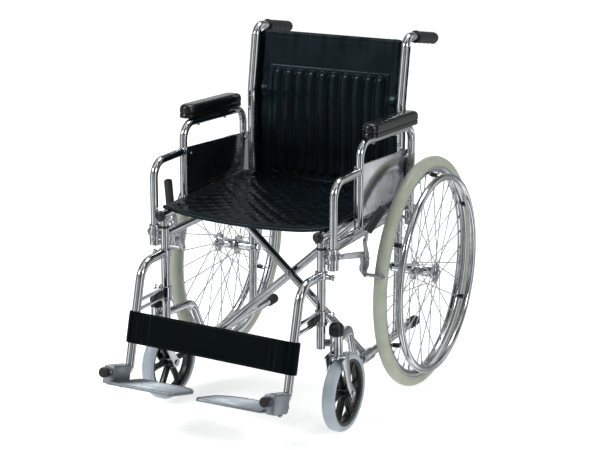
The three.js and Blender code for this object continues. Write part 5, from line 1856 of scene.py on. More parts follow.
    def add_rim(self, form: Form, outline: Outline, top: float) -> None:
        """Adds the raised edge round the plate."""
        inward = Vector((-self.side.value * (self.middle / 2), -30))
        points = []
        for x, y in outline:
            pull = (inward - Vector((x, y))).normalized() * 2.4
            level = self.elbow + self.above * (top - 1.8)
            points.append(level + X_AXIS * (x + pull.x) + self.ahead * (y + pull.y))
        rings = []
        count = len(points)
        section = [(-1.9, 0), (-1.7, 1.2), (-0.8, 1.75), (0.8, 1.75)]
        section += [(1.7, 1.2), (1.9, 0), (1.0, -1), (-1.0, -1)]
        for i in range(count):
            tangent = (points[(i + 1) % count] - points[i - 1]).normalized()
            out = tangent.cross(self.above).normalized()
            rings.append([points[i] + out * a + self.above * b for a, b in section])
        form.loops(rings, closed=True)

    def add_ribs(self, form: Form, top: float) -> None:
        """Adds the fine ribs of the tread, along the plate's length across the chair."""
        inner = self.inner_gap - self.middle
        pitch, y = 5.2, self.plate_front + 9
        while y < self.plate_rear - 6:
            start = inner + 7
            past = y - (self.plate_rear - 66)
            if past > 0:
                start = inner + 66 - math.sqrt(max(0.0, 60.0**2 - past**2)) + 1
            end = -16.5 if -96 < y < -14 else -14.5
            ends = sorted((self.side.value * start, self.side.value * end))
            section = [(y - 1.1, -0.6), (y + 1.1, -0.6), (y + 0.55, 0.9), (y - 0.55, 0.9)]
            form.prism(section, self.ahead, self.above, *ends, 0.25, self.elbow + self.above * (top - 1.6))
            y += pitch

    def add_block(self, form: Form) -> None:
        """Adds the square block round the tube, with a bored front."""
        front, rear, top, half = -94.0, -16.0, 16.0, 14.5
        low = -self.drop - self.plate_thick
        outline = [(-half, low), (half, low), (half, top - 3)]
        outline += [(half - 3, top), (-half + 3, top), (-half, top - 3)]
        form.prism(outline, X_AXIS, self.above, -rear, -front, 1.2, self.elbow)
        lip = [(11.3, 0), (13.4, 0), (14.0, 0.6), (14.0, 2.0), (11.3, 2.0)]
        form.turned(lip, self.foot(0, front - 1.6, 0), self.ahead, 44)


# ------------------------------------------------------------------------------ brace


@dataclass(frozen=True)
class Brace:
    """The two crossing members with their seat rails, and the bolt between them."""

    finishes: Finishes
    half: float = FRAME_X
    y: float = -190.0
    offset: float = 11.8
    tube: float = TUBE_R
    bottom_z: float = BOTTOM_RAIL_Z
    seat_z: float = SEAT_RAIL_Z
    sleeve: float = 60.0
    rail_front: float = -483.0
    rail_rear: float = -27.0
    screws: tuple[float, ...] = (-420.0, -330.0, -240.0, -150.0, -60.0)  # along the seat rail

    def build(self) -> None:
        """Builds both members and the bolt."""
        self.build_member(Side.LEFT, self.y - self.offset, "brace_a", "brace_front", "brace_member_front")
        self.build_member(Side.RIGHT, self.y + self.offset, "brace_b", "brace_rear", "brace_member_rear")
        self.build_bolt()

    def build_member(self, side: Side, y: float, body: str, node: str, name: str) -> None:
        """Builds one member: sleeve on its side's bottom rail, seat rail over the other side."""
        form = Form(self.finishes.chrome)
        foot = side.at(self.half, y, self.bottom_z)
        head = side.at(-self.half, y, self.seat_z)
        along = (head - foot).normalized()
        form.tube([foot + along * 13, head - along * 4], self.tube)
        half = self.sleeve / 2
        form.turned(ring_wall(11.4, 15.5, -half, half), foot, Y_AXIS, 48)
        ends = (self.rail_front, self.rail_rear)
        form.tube([side.at(-self.half, end, self.seat_z) for end in ends], self.tube)
        form.weld(foot + along * 15.6, along, self.tube, 3.0)
        form.weld(head - along * 11.5, along, self.tube, 3.0)
        form.use(self.finishes.zinc)
        for y_screw in self.screws:
            start = side.at(-self.half, y_screw, self.seat_z - 10.5)
            form.bar(start, start - Z_AXIS * 2.0, 4.0, 20, 1.2)
        fit(form.build(name), body, "chrome", node)

    def build_bolt(self) -> None:
        """Builds the pivot bolt with its washers, dome head and nut."""
        form = Form(self.finishes.zinc)
        middle = Vector((0, self.y, (self.bottom_z + self.seat_z) / 2))
        reach = self.offset + self.tube + 0.4
        form.bar(middle - Y_AXIS * (reach + 3), middle + Y_AXIS * (reach + 3), 4.9, 24)
        for way in (-1, 1):
            form.turned(washer(5, 10.8, 1.3, 0.6), middle + Y_AXIS * (way * reach), Y_AXIS * way, 36)
        dome = [(0, 1.2), (8.8, 1.2), (9, 2.2), (8.2, 4.0), (5.6, 5.4), (2.4, 6.0), (0, 6.0)]
        form.turned(dome, middle - Y_AXIS * reach, -Y_AXIS, 40)
        form.nut(middle + Y_AXIS * (reach + 1.2), middle + Y_AXIS * (reach + 6), 8.8)
        fit(form.build("brace_pivot"), "brace_a", "zinc_steel", "brace_bolt")


# ------------------------------------------------------------------------- upholstery

Grid = list[list[Vector]]
Skin = Callable[[int, int], float]  # distance of a skin from the grid, by row and column


def settle(grid: Grid, held: Callable[[int, int], bool], pull: Vector, slack: float, steps: int) -> Grid:
    """Lets a sheet settle as cloth between the edges that hold it.

    Args:
        grid: Rows of points, in millimetres.
        held: Says whether a row and column number is held fast.
        pull: Acceleration on the cloth, in metres per second squared.
        slack: Share by which the cloth is longer than its straight run.
        steps: Simulated frames.

    Returns:
        The settled rows of points.
    """
    rows, columns = len(grid), len(grid[0])
    mesh = bpy.data.meshes.new("settling")
    faces = [
        (r * columns + c, r * columns + c + 1, (r + 1) * columns + c + 1, (r + 1) * columns + c)
        for r in range(rows - 1)
        for c in range(columns - 1)
    ]
    mesh.from_pydata([p * MM for row in grid for p in row], [], faces)
    cloth = bpy.data.objects.new("settling", mesh)
    scene = bpy.context.scene
    scene.collection.objects.link(cloth)
    pins = cloth.vertex_groups.new(name="pins")
    pins.add([r * columns + c for r in range(rows) for c in range(columns) if held(r, c)], 1.0, "REPLACE")
    modifier = cloth.modifiers.new("cloth", "CLOTH")
    settings = modifier.settings
    settings.quality = 6
    settings.mass = 0.4
    settings.tension_stiffness = 40
    settings.compression_stiffness = 25
    settings.bending_stiffness = 6
    settings.air_damping = 4
    settings.vertex_group_mass = "pins"
    settings.shrink_min = -slack
    settings.shrink_max = -slack
    settings.effector_weights.gravity = 1.0
    modifier.collision_settings.use_collision = False
    modifier.point_cache.frame_start = 1
    modifier.point_cache.frame_end = steps
    gravity = scene.gravity.copy()
    scene.gravity = pull
    for number in range(1, steps + 1):
        scene.frame_set(number)
    settled = cloth.evaluated_get(bpy.context.evaluated_depsgraph_get()).to_mesh()
    places = [v.co / MM for v in settled.vertices]
    scene.gravity = gravity
    bpy.data.objects.remove(cloth)
    bpy.data.meshes.remove(mesh)
    scene.frame_set(1)
    return [[places[r * columns + c] for c in range(columns)] for r in range(rows)]


def finer(grid: Grid, factor: int) -> Grid:
    """Adds smooth points between a grid's own, factor of them for each span."""
    rows = [smooth_curve(row, (len(row) - 1) * factor) for row in grid]
    columns = [smooth_curve([row[c] for row in rows], (len(rows) - 1) * factor) for c in range(len(rows[0]))]
    return [[column[r] for column in columns] for r in range(len(columns[0]))]


def normals_of(grid: Grid) -> Grid:
    """Unit normals of a grid's surface, from its rows' direction crossed with its columns'."""
    made = []
    rows, columns = len(grid), len(grid[0])
    for r in range(rows):
        line = []
        for c in range(columns):
            along = grid[r][min(c + 1, columns - 1)] - grid[r][max(c - 1, 0)]
            up = grid[min(r + 1, rows - 1)][c] - grid[max(r - 1, 0)][c]
            line.append(along.cross(up).normalized())
        made.append(line)
    return made


def smoothstep(low: float, high: float, value: float) -> float:
    """Smooth step from 0 at low to 1 at high."""
    t = min(1.0, max(0.0, (value - low) / (high - low)))
    return t * t * (3 - 2 * t)


def spots_between(start: tuple[float, float], end: tuple[float, float], parts: int) -> Pairs:
    """Evenly spaced spots from one place on a surface to another."""
    (ax, ay), (bx, by) = start, end
    return [(ax + (bx - ax) * k / parts, ay + (by - ay) * k / parts) for k in range(parts + 1)]


def add_shell(form: Form, grid: Grid, face: Skin, back: Skin) -> Form:
    """Adds a closed skin round a grid.

    Args:
        form: Form that gets it.
        grid: Rows of points on the middle surface.
        face: Distance of the front skin along the normal, by row and column.
        back: Distance of the rear skin against the normal, by row and column.

    Returns:
        The form.
    """
    rows, columns = len(grid), len(grid[0])
    normals = normals_of(grid)
    front = [grid[r][c] + normals[r][c] * face(r, c) for r in range(rows) for c in range(columns)]
    rear = [grid[r][c] - normals[r][c] * back(r, c) for r in range(rows) for c in range(columns)]
    shift = rows * columns
    faces = []
    for r in range(rows - 1):
        for c in range(columns - 1):
            a, b = r * columns + c, (r + 1) * columns + c
            faces.append((a, a + 1, b + 1, b))
            faces.append((shift + a, shift + b, shift + b + 1, shift + a + 1))
    rim = list(range(columns))
    rim += [r * columns + columns - 1 for r in range(1, rows)]
    rim += [(rows - 1) * columns + c for c in range(columns - 2, -1, -1)]
    rim += [r * columns for r in range(rows - 2, 0, -1)]
    for here, there in zip(rim, [*rim[1:], rim[0]]):
        faces.append((here, shift + here, shift + there, there))
    return form.add(front + rear, faces)


@dataclass
class SeatSling:
    """The quilted vinyl seat, hung between the seat rails."""

    finishes: Finishes
    half: float = 231.5
    flat: float = 206.0
    front: float = -451.0
    rear: float = -16.0
    low: float = 521.3
    thick: float = 6.0
    sag: float = 12.0
    coarse: float = 14.5
    fineness: int = 6
    quilt: float = 31.0  # distance between neighbouring stitch lines
    puff: float = 3.1
    hem: float = 13.0
    roll: float = 4.6
    roll_drop: float = 2.6  # how far the hem hangs below the edge between the rails
    tuck: float = 24.0  # how far the rear edge runs on between the posts
    middle: Grid = field(default_factory=list)

    def build(self) -> None:
        """Builds the sling, its front piping and its stitches."""
        self.middle = finer(self.hang(), self.fineness)
        form = Form(self.finishes.vinyl)
        add_shell(form, self.middle, self.face, self.back)
        self.add_piping(form)
        self.add_stitches(form)
        seat = form.build("quilted_seat", 70)
        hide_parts("seat_sling")
        right, left = (Side.RIGHT.at(FRAME_X, 0, self.low) * MM, Side.LEFT.at(FRAME_X, 0, self.low) * MM)
        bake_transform(seat)
        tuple(right)
        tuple(left)
        LOG.info("%s hangs between the braces with %d faces", seat.name, len(seat.data.polygons))

    def hang(self) -> Grid:
        """The middle surface: flat on the rails, hanging between them."""
        columns = math.ceil(2 * self.half / self.coarse)
        rows = math.ceil((self.rear - self.front) / self.coarse)
        grid = []
        for r in range(rows + 1):
            line = []
            for c in range(columns + 1):
                x = -self.half + 2 * self.half * c / columns
                y = self.front + (self.rear_at(x) - self.front) * r / rows
                share = min(1.0, abs(x) / self.flat)
                z = self.low + self.thick / 2 - self.sag * (1 - share * share)
                line.append(Vector((x, y, z)))
            grid.append(line)
        edge = self.flat

        def held(r: int, c: int) -> bool:
            """Whether the rails hold this point."""
            return abs(grid[r][c].x) >= edge

        settled = settle(grid, held, Vector((0, 0, -9.81)), 0.004, 26)
        for r, line in enumerate(settled):
            for c, point in enumerate(line):
                start = grid[r][c]
                move = point - start
                free = smoothstep(0, 90, self.rear_at(start.x) - start.y)
                move.z = max(-4.0, min(3.0, move.z)) * free
                move.x, move.y = (max(-2.0, min(2.0, v)) for v in (move.x, move.y))
                line[c] = start + move
        return settled

    def rear_at(self, x: float) -> float:
        """Rear edge of the seat, drawn in beside the posts."""
        return self.rear + self.tuck * smoothstep(203, 186, abs(x))

    def local(self, r: int, c: int) -> tuple[float, float]:
        """Distance across and along the seat of a grid point, before it hung."""
        rows, columns = len(self.middle) - 1, len(self.middle[0]) - 1
        x = -self.half + 2 * self.half * c / columns
        return x, self.front + (self.rear_at(x) - self.front) * r / rows

    def face(self, r: int, c: int) -> float:
        """Height of the quilted top over the middle surface."""
        x, y = self.local(r, c)
        edge = min(self.half - abs(x), y - self.front, self.rear_at(x) - y)
        if edge <= 0.01:
            return 0.6
        across, along = (x + y) / math.sqrt(2), (x - y) / math.sqrt(2)
        pillow = abs(math.sin(math.pi * across / self.quilt)) * abs(math.sin(math.pi * along / self.quilt))
        quilted = self.puff * pillow**0.45 - 0.7
        inner = smoothstep(self.hem, self.hem + 6, edge)
        seam = math.exp(-(((edge - self.hem) / 1.6) ** 2))
        border = 2.3 * smoothstep(0, 2.5, edge)
        wrinkle = 0.9 * noise.noise(Vector((x * 0.011, y * 0.02, 3.1)))
        return border + (quilted * inner) - 1.2 * seam + wrinkle * smoothstep(0, 40, edge)

    def back(self, r: int, c: int) -> float:
        """Depth of the plain underside under the middle surface."""
        x, y = self.local(r, c)
        edge = min(self.half - abs(x), y - self.front, self.rear_at(x) - y)
        on_rail = abs(x) > self.flat - 8
        return 0.6 if edge <= 0.01 else (2.9 if on_rail else 2.6)

    def top_line(self, points: Outline, lift: float) -> list[Vector]:
        """Points on the seat's top for places across and along it."""
        rows, columns = len(self.middle) - 1, len(self.middle[0]) - 1
        made = []
        for x, y in points:
            c = round((x + self.half) / (2 * self.half) * columns)
            r = min(rows, round((y - self.front) / (self.rear_at(x) - self.front) * rows))
            made.append(self.middle[r][c] + Z_AXIS * (self.face(r, c) + lift))
        return made

    def add_piping(self, form: Form) -> None:
        """Adds the rolled front hem."""
        columns = len(self.middle[0]) - 1
        line = []
        for c in range(0, columns + 1, 2):
            x, _ = self.local(0, c)
            hang = self.roll_drop * smoothstep(self.flat, self.flat - 60, abs(x))
            line.append(self.middle[0][c] + Vector((0, 1.2, -0.4 - hang)))

        def radius(share: float, angle: float) -> float:
            """Radius of the hem, fuller underneath and drawn in at its ends."""
            return (self.roll + 1.2 * max(0.0, -math.sin(angle))) if 0 < share < 1 else 2.4

        form.sweep(line, radius, 16)

    def add_stitches(self, form: Form) -> None:
        """Adds the rows of stitches inside the hem."""
        form.use(self.finishes.thread)
        for inset in (self.hem, self.hem - 5):
            x, front, rear = self.half - inset, self.front + inset, self.rear - inset
            for ends in (((-x, front), (x, front)), ((x, front), (x, rear)), ((-x, front), (-x, rear))):
                form.stitches(self.top_line(spots_between(*ends, 90), 0.25), lambda i: Z_AXIS, 5.2, 0.5)


@dataclass
class BackSling:
    """The vinyl back with its plain top band and a stitched panel of padded channels."""

    finishes: Finishes
    post: float = FRAME_X
    tube: float = TUBE_R
    low: float = 513.0
    kink_z: float = BACK_KINK_Z
    recline: float = BACK_RECLINE
    reach_side: float = 151.0
    reach_middle: float = 164.0
    behind: float = 13.4  # of the middle surface behind the posts' axis
    lip: float = 13.6  # of the wrapped edge from the posts' axis
    coarse: float = 15.0
    fineness: int = 6
    panel_half: float = 176.0
    panel_drop: float = 88.0
    panel_low: float = 11.0
    channel: float = 33.2
    channels: int = 10
    puff: float = 6.5
    sleeve: float = 30.0  # of the rear sleeve seam from the post's axis
    rear_hem: float = 17.0
    screws: tuple[float, ...] = (24.0, 200.0, 352.0)  # heights up the posts
    middle: Grid = field(default_factory=list)

    @property
    def length(self) -> float:
        """Height of the sling measured up its own surface, in the middle."""
        return self.kink_z - self.low + self.reach_middle

    def build(self) -> None:
        """Builds the sling, its bound edges and its stitches."""
        self.middle = finer(self.hang(), self.fineness)
        form = Form(self.finishes.vinyl)
        add_shell(form, self.middle, self.face, self.back)
        self.add_binding(form)
        self.add_stitches(form)
        for side in Side:
            self.add_wrap(form, side)
        self.add_screws(form)
        sling = form.build("channelled_back", 70)
        fit(sling, "left_frame", "black_vinyl", "back_sling")
        anchor = Side.LEFT.at(self.post, 0, self.low) * MM
        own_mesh(sling)

    def rise(self, height: float, offset: float) -> Vector:
        """A point behind the posts for a distance up them.

        Args:
            height: Distance up the posts from the sling's foot.
            offset: Distance behind the posts' axis.

        Returns:
            The point, with X 0.
        """
        past = self.low + height - self.kink_z
        blend = smoothstep(-30, 30, past)
        if past < 0:
            foot = Vector((0, offset, self.low + height))
        else:
            run, climb = past * math.sin(self.recline), past * math.cos(self.recline)
            foot = Vector((0, run + offset, self.kink_z + climb))
        lean = self.recline * blend
        foot.y += offset * (math.cos(lean) - 1)
        foot.z -= offset * math.sin(lean)
        return foot

    def top_at(self, x: float) -> float:
        """Height of the top edge up the sling, lower beside the posts."""
        share = smoothstep(self.post - 22, self.post - 3, abs(x))
        return self.length - (self.reach_middle - self.reach_side) * share

    def hang(self) -> Grid:
        """The middle surface, from post to post."""
        half = self.post - 1
        columns = math.ceil(2 * half / self.coarse)
        rows = math.ceil(self.length / self.coarse)
        grid = []
        for r in range(rows + 1):
            line = []
            for c in range(columns + 1):
                x = -half + 2 * half * c / columns
                bow = 1 - (x / half) ** 2
                place = self.rise(self.top_at(x) * r / rows, self.behind + 1.5 * bow)
                line.append(Vector((x, place.y, place.z)))
            grid.append(line)

        def held(r: int, c: int) -> bool:
            """Whether a post holds this point."""
            return c in (0, columns)

        settled = settle(grid, held, Vector((0, 2.5, -2.0)), 0.004, 22)
        for r, line in enumerate(settled):
            for c, point in enumerate(line):
                move = point - grid[r][c]
                move.y = max(-1.5, min(4.0, move.y)) * smoothstep(0, 5, r)
                move.x, move.z = (max(-1.5, min(1.5, v)) for v in (move.x, move.z))
                line[c] = grid[r][c] + move
        return settled

    def local(self, r: int, c: int) -> tuple[float, float, float]:
        """Distance across, up from the foot and down from the top of a grid point."""
        rows, columns = len(self.middle) - 1, len(self.middle[0]) - 1
        half = self.post - 1
        x = -half + 2 * half * c / columns
        top = self.top_at(x)
        return x, top * r / rows, top * (1 - r / rows)

    def face(self, r: int, c: int) -> float:
        """Height of the front skin over the middle surface; the front looks towards -Y."""
        x, up, down = self.local(r, c)
        left = self.length - self.panel_drop
        base = 3.0 * smoothstep(0, 3, down) * smoothstep(0, 3, up) + 0.5
        clear = smoothstep(self.post - self.tube - 16, self.post - self.tube - 2, abs(x))
        base = base * (1 - clear) + 1.2 * clear
        height = self.channel_height(x, up, left)
        seam_x = math.exp(-(((abs(x) - self.panel_half) / 1.7) ** 2))
        seam_top = math.exp(-(((up - left) / 1.7) ** 2)) if abs(x) < self.panel_half else 0.0
        within = 1.0 if self.panel_low - 8 < up < left + 4 else 0.0
        crease = 1.3 * noise.noise(Vector((x * 0.012, up * 0.018, 7.7))) * (1 - clear)
        pucker = 0.8 * noise.noise(Vector((x * 0.05, up * 0.006, 1.3)))
        pucker *= smoothstep(70, 20, down) * (1 - clear)
        return base + height - 1.3 * (seam_x * within + seam_top) + crease + pucker

    def channel_height(self, x: float, up: float, left: float) -> float:
        """Puff of the padded channels: rounded ribs with round ends.

        Args:
            x: Distance across.
            up: Distance up from the sling's foot.
            left: Height of the panel's upper seam.

        Returns:
            Height over the plain skin.
        """
        half_run = self.channel * self.channels / 2
        if abs(x) > half_run:
            return 0.0
        offset = (x + half_run) % self.channel - self.channel / 2
        across = offset / (self.channel / 2)
        radius = self.channel / 2
        top, low = left - 9 - radius, self.panel_low + radius
        past = max(up - top, low - up, 0.0) / radius
        reach = math.sqrt(across * across + past * past)
        if reach >= 1:
            return -0.9 * smoothstep(1.25, 1.0, reach)
        return self.puff * (1 - reach**2.6) ** 0.62 - 0.9

    def back(self, r: int, c: int) -> float:
        """Depth of the rear skin behind the middle surface."""
        x, up, down = self.local(r, c)
        seams = [math.exp(-(((v - at) / 1.5) ** 2)) for v, at in self.rear_seams(abs(x), up, down)]
        crease = 1.1 * noise.noise(Vector((x * 0.014, up * 0.02, 9.2))) * smoothstep(2, 30, min(up, down))
        return 0.5 + 2.6 * smoothstep(0, 3, down) * smoothstep(0, 3, up) - 0.9 * max(seams) + crease

    def rear_seams(self, across: float, up: float, down: float) -> Pairs:
        """Pairs of a distance and the rear seam that it is measured to."""
        return [(across, self.post - self.sleeve), (up, self.rear_hem), (down, self.rear_hem)]

    def rear_point(self, x: float, up: float, lift: float) -> Vector:
        """A point on the rear skin for a distance across and up."""
        r, c = self.nearest(x, up)
        return self.middle[r][c] + Y_AXIS * (self.back(r, c) + lift)

    def nearest(self, x: float, up: float) -> tuple[int, int]:
        """Row and column of the grid point nearest to a distance across and up."""
        rows, columns = len(self.middle) - 1, len(self.middle[0]) - 1
        half = self.post - 1
        c = max(0, min(columns, round((x + half) / (2 * half) * columns)))
        r = max(0, min(rows, round(up / self.top_at(x) * rows)))
        return r, c

    def surface_point(self, x: float, up: float, lift: float) -> Vector:
        """A point on the front skin for a distance across and up."""
        r, c = self.nearest(x, up)
        return self.middle[r][c] - Y_AXIS * (self.face(r, c) + lift)

    def add_binding(self, form: Form) -> None:
        """Adds the rolled top edge."""
        columns = len(self.middle[0]) - 1
        top = [self.middle[-1][c] - Z_AXIS * 1.4 for c in range(0, columns + 1, 2)]
        form.sweep(top, lambda share, angle: 3.5 if 0 < share < 1 else 2.2, 16)

    def add_stitches(self, form: Form) -> None:
        """Adds the stitches round the panel, along the top band and between the channels."""
        form.use(self.finishes.thread)
        left = self.length - self.panel_drop
        edge = self.panel_half
        rows = [
            [(-edge, left), (edge, left)],
            [(-edge, self.panel_low - 4), (-edge, left)],
            [(edge, self.panel_low - 4), (edge, left)],
            [(-edge - 14, self.length - 14), (edge + 14, self.length - 14)],
        ]
        half_run = self.channel * self.channels / 2
        for k in range(self.channels + 1):
            x = -half_run + self.channel * k
            rows.append([(x, self.panel_low + 6), (x, left - 14)])
        for start, end in rows:
            line = [self.surface_point(x, up, 0.15) for x, up in spots_between(start, end, 60)]
            form.stitches(line, lambda i: -Y_AXIS, 5.6, 0.48)
        self.add_rear_stitches(form)
        form.use(self.finishes.vinyl)

    def add_rear_stitches(self, form: Form) -> None:
        """Adds the stitches of the rear hems and of the sleeves round the posts."""
        wide, top = self.post - self.sleeve, self.length - self.rear_hem
        inner, foot = wide + 3.5, self.rear_hem
        rows = [((-wide, foot - 3.5), (wide, foot - 3.5)), ((-wide, top + 3.5), (wide, top + 3.5))]
        rows += [((way * inner, foot), (way * inner, top)) for way in (-1, 1)]
        for start, end in rows:
            line = [self.rear_point(x, up, 0.15) for x, up in spots_between(start, end, 60)]
            form.stitches(line, lambda i: Y_AXIS, 5.6, 0.48)

    def add_screws(self, form: Form) -> None:
        """Adds the domed screws on cup washers that hold the sleeves to the posts from behind."""
        form.use(self.finishes.chrome)
        profile = [(0, 0), (7.2, 0), (7.4, 0.6), (5.2, 1.7), (4.8, 1.4)]
        profile += [(4.6, 1.9), (3.2, 3.2), (1.4, 3.8), (0, 3.9)]
        for side in Side:
            for height in self.screws:
                seat = self.rise(height, self.lip + 0.2)
                form.turned(profile, side.at(self.post, seat.y, seat.z), Y_AXIS, 28)

    def add_wrap(self, form: Form, side: Side) -> None:
        """Adds the sleeve that wraps the post from behind and comes round its outer face."""
        rings = []
        steps = 44
        for k in range(steps + 1):
            height = (self.length - (self.reach_middle - self.reach_side)) * k / steps
            height = min(max(height, 1.0), self.kink_z - self.low + self.reach_side - 2)
            axis = self.rise(height, 0.0)
            angles = [178 - 8.5 * i for i in range(22)]
            ripple = 0.35 * noise.noise(Vector((height * 0.05, side.value * 4.0, 2.0)))
            outer = [(self.lip + ripple, a) for a in angles]
            inner = [(self.lip - 1.9, a) for a in reversed(angles)]
            ring = []
            for reach, degrees in outer + inner:
                a = math.radians(degrees)
                x, y = -math.cos(a) * reach, math.sin(a) * reach
                ring.append(side.at(self.post + x, axis.y + y, axis.z))
            rings.append(ring)
        form.loops(rings)


@dataclass(frozen=True)
class CalfStrap:
    """The vinyl band between the hangers, with its doubled and stitched ends."""

    finishes: Finishes
    middle: float = FRAME_X
    post_y: float = FRONT_POST_Y
    tube: float = TUBE_R
    reach: float = HANGER_REACH
    top_z: float = HANGER_TOP_Z
    tilt: float = HANGER_TILT
    low: float = 213.0
    height: float = 78.0
    skin: float = 2.4
    climb: float = 11.0  # how much higher the band sits on the right hanger
    sag: float = 3.2
    doubled: tuple[float, float] = (158.0, 181.0)

    def place(self, x: float, out: float, up: float) -> Vector:
        """A point of the strap: across, in front of the hanger tubes' axis, and up the slope."""
        y = self.post_y - self.reach - (self.top_z - self.low) * math.tan(self.tilt)
        ahead = Vector((0, -math.cos(self.tilt), math.sin(self.tilt)))
        above = Vector((0, math.sin(self.tilt), math.cos(self.tilt)))
        climb = self.climb * (self.middle - x) / (2 * self.middle)
        return Vector((x, y, self.low)) + ahead * out + above * (up + climb)

    def track(self) -> Pairs:
        """The band's line seen from above its own slope, round both hanger tubes."""
        rest = self.tube + 0.5
        angles = [math.radians(degrees) for degrees in range(-60, 91, 6)]
        turn = [(self.middle + rest * math.cos(a), rest * math.sin(a)) for a in angles]
        made = list(turn)
        span = 46
        for k in range(1, span):
            share = k / span
            made.append((self.middle * (1 - 2 * share), rest - self.sag * math.sin(math.pi * share)))
        made += [(-x, y) for x, y in turn][::-1]
        return made

    def build(self) -> None:
        """Builds the band with its doubled ends and stitches."""
        form = Form(self.finishes.smooth_vinyl)
        track = self.track()
        self.add_band(form, track, 0.0, 0.0)
        for way, at in ((1, self.doubled[0]), (-1, self.doubled[1])):
            part = [(x, y) for x, y in track if way * x > at]
            if way < 0:
                part = part[::-1]
            self.add_band(form, part[::-1] if way > 0 else part, self.skin + 0.05, 0.7)
        self.add_stitches(form, track)
        strap = form.build("calf_band", 60)
        fit(strap, "left_footrest", "black_vinyl", "calf_strap")
        length = sum(math.hypot(b[0] - a[0], b[1] - a[1]) for a, b in zip(track, track[1:]))
        tubes = [side.node("hanger_tube") for side in Side]
        anchor = Side.LEFT.at(self.middle, 0, self.low) * MM
        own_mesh(strap)

    def add_band(self, form: Form, track: Outline, lift: float, inset: float) -> None:
        """Adds a closed band along a track."""
        rows = 9
        rings = []
        for i, (x, y) in enumerate(track):
            ahead = track[min(i + 1, len(track) - 1)]
            behind = track[max(i - 1, 0)]
            along = Vector((ahead[0] - behind[0], ahead[1] - behind[1])).normalized()
            out = Vector((along.y, -along.x))
            past_tube = abs(x) > self.middle
            from_tube = Vector((x - math.copysign(self.middle, x), y))
            if (out.y < 0 and abs(x) < self.middle) or (out.dot(from_tube) < 0 and past_tube):
                out = -out
            ring = []
            for level, reach in self.section(rows, lift, inset):
                if abs(x) < self.middle - 20:
                    reach += 0.7 * noise.noise(Vector((x * 0.02, level * 0.03, 5.0)))
                ring.append(self.place(x + out.x * reach, y + out.y * reach, level))
            rings.append(ring)
        form.loops(rings)

    def section(self, rows: int, lift: float, inset: float) -> Pairs:
        """Section of the band: height and distance pairs round it."""
        low, high = inset, self.height - inset
        near, far = lift, lift + self.skin
        made = []
        for k in range(rows + 1):
            made.append((low + (high - low) * k / rows, far - (0.6 if k in (0, rows) else 0.0)))
        for k in range(rows + 1):
            made.append((high - (high - low) * k / rows, near + (0.4 if k in (0, rows) else 0.0)))
        return made

    def add_stitches(self, form: Form, track: Outline) -> None:
        """Adds the stitched rows at the doubled ends and along both edges."""
        form.use(self.finishes.thread)
        rest = self.tube + 0.5
        front = Vector((0, -1, 0))
        for x in (self.doubled[0] + 5, self.doubled[0] + 22, -self.doubled[1] - 5, -self.doubled[1] + 14):
            share = (self.middle - x) / (2 * self.middle)
            sag = self.sag * math.sin(math.pi * share)
            doubled = x > self.doubled[0] or x < -self.doubled[1]
            out = rest - sag + self.skin * (2.05 if doubled else 1.0) + 0.15
            line = [self.place(x, out, 4 + (self.height - 8) * k / 24) for k in range(25)]
            form.stitches(line, lambda i: front, 4.6, 0.5)
        for level in (4.0, self.height - 4.0):
            line = []
            for k in range(41):
                x = -self.doubled[1] + (self.doubled[0] + self.doubled[1]) * k / 40
                share = (self.middle - x) / (2 * self.middle)
                out = rest - self.sag * math.sin(math.pi * share) + self.skin + 0.1
                line.append(self.place(x, out, level))
            form.stitches(line, lambda i: front, 5.4, 0.42)


# ----------------------------------------------------------------------------- studio


# bearing round the room (0 and 1 are in front of the chair, 0.5 behind it) and brightness
ROOM_STRIPS = [
    (0.0, 0.34), (0.04, 0.14), (0.07, 0.92), (0.13, 1.35), (0.16, 0.21), (0.21, 0.12),
    (0.24, 0.43), (0.3, 0.54), (0.34, 0.14), (0.38, 0.65), (0.44, 0.9), (0.48, 0.2),
    (0.56, 0.3), (0.6, 0.95), (0.65, 0.59), (0.68, 0.12), (0.74, 0.16), (0.77, 1.19),
    (0.82, 0.97), (0.845, 0.14), (0.91, 0.11), (0.95, 0.54), (1.0, 0.34),
]
# height in the room (0.5 is level) and brightness
ROOM_LEVELS = [
    (0.0, 1.6), (0.22, 1.5), (0.36, 1.2), (0.47, 0.95), (0.53, 1.05),
    (0.62, 0.95), (0.72, 0.45), (0.84, 0.4), (0.93, 1.4), (1.0, 1.5),
]


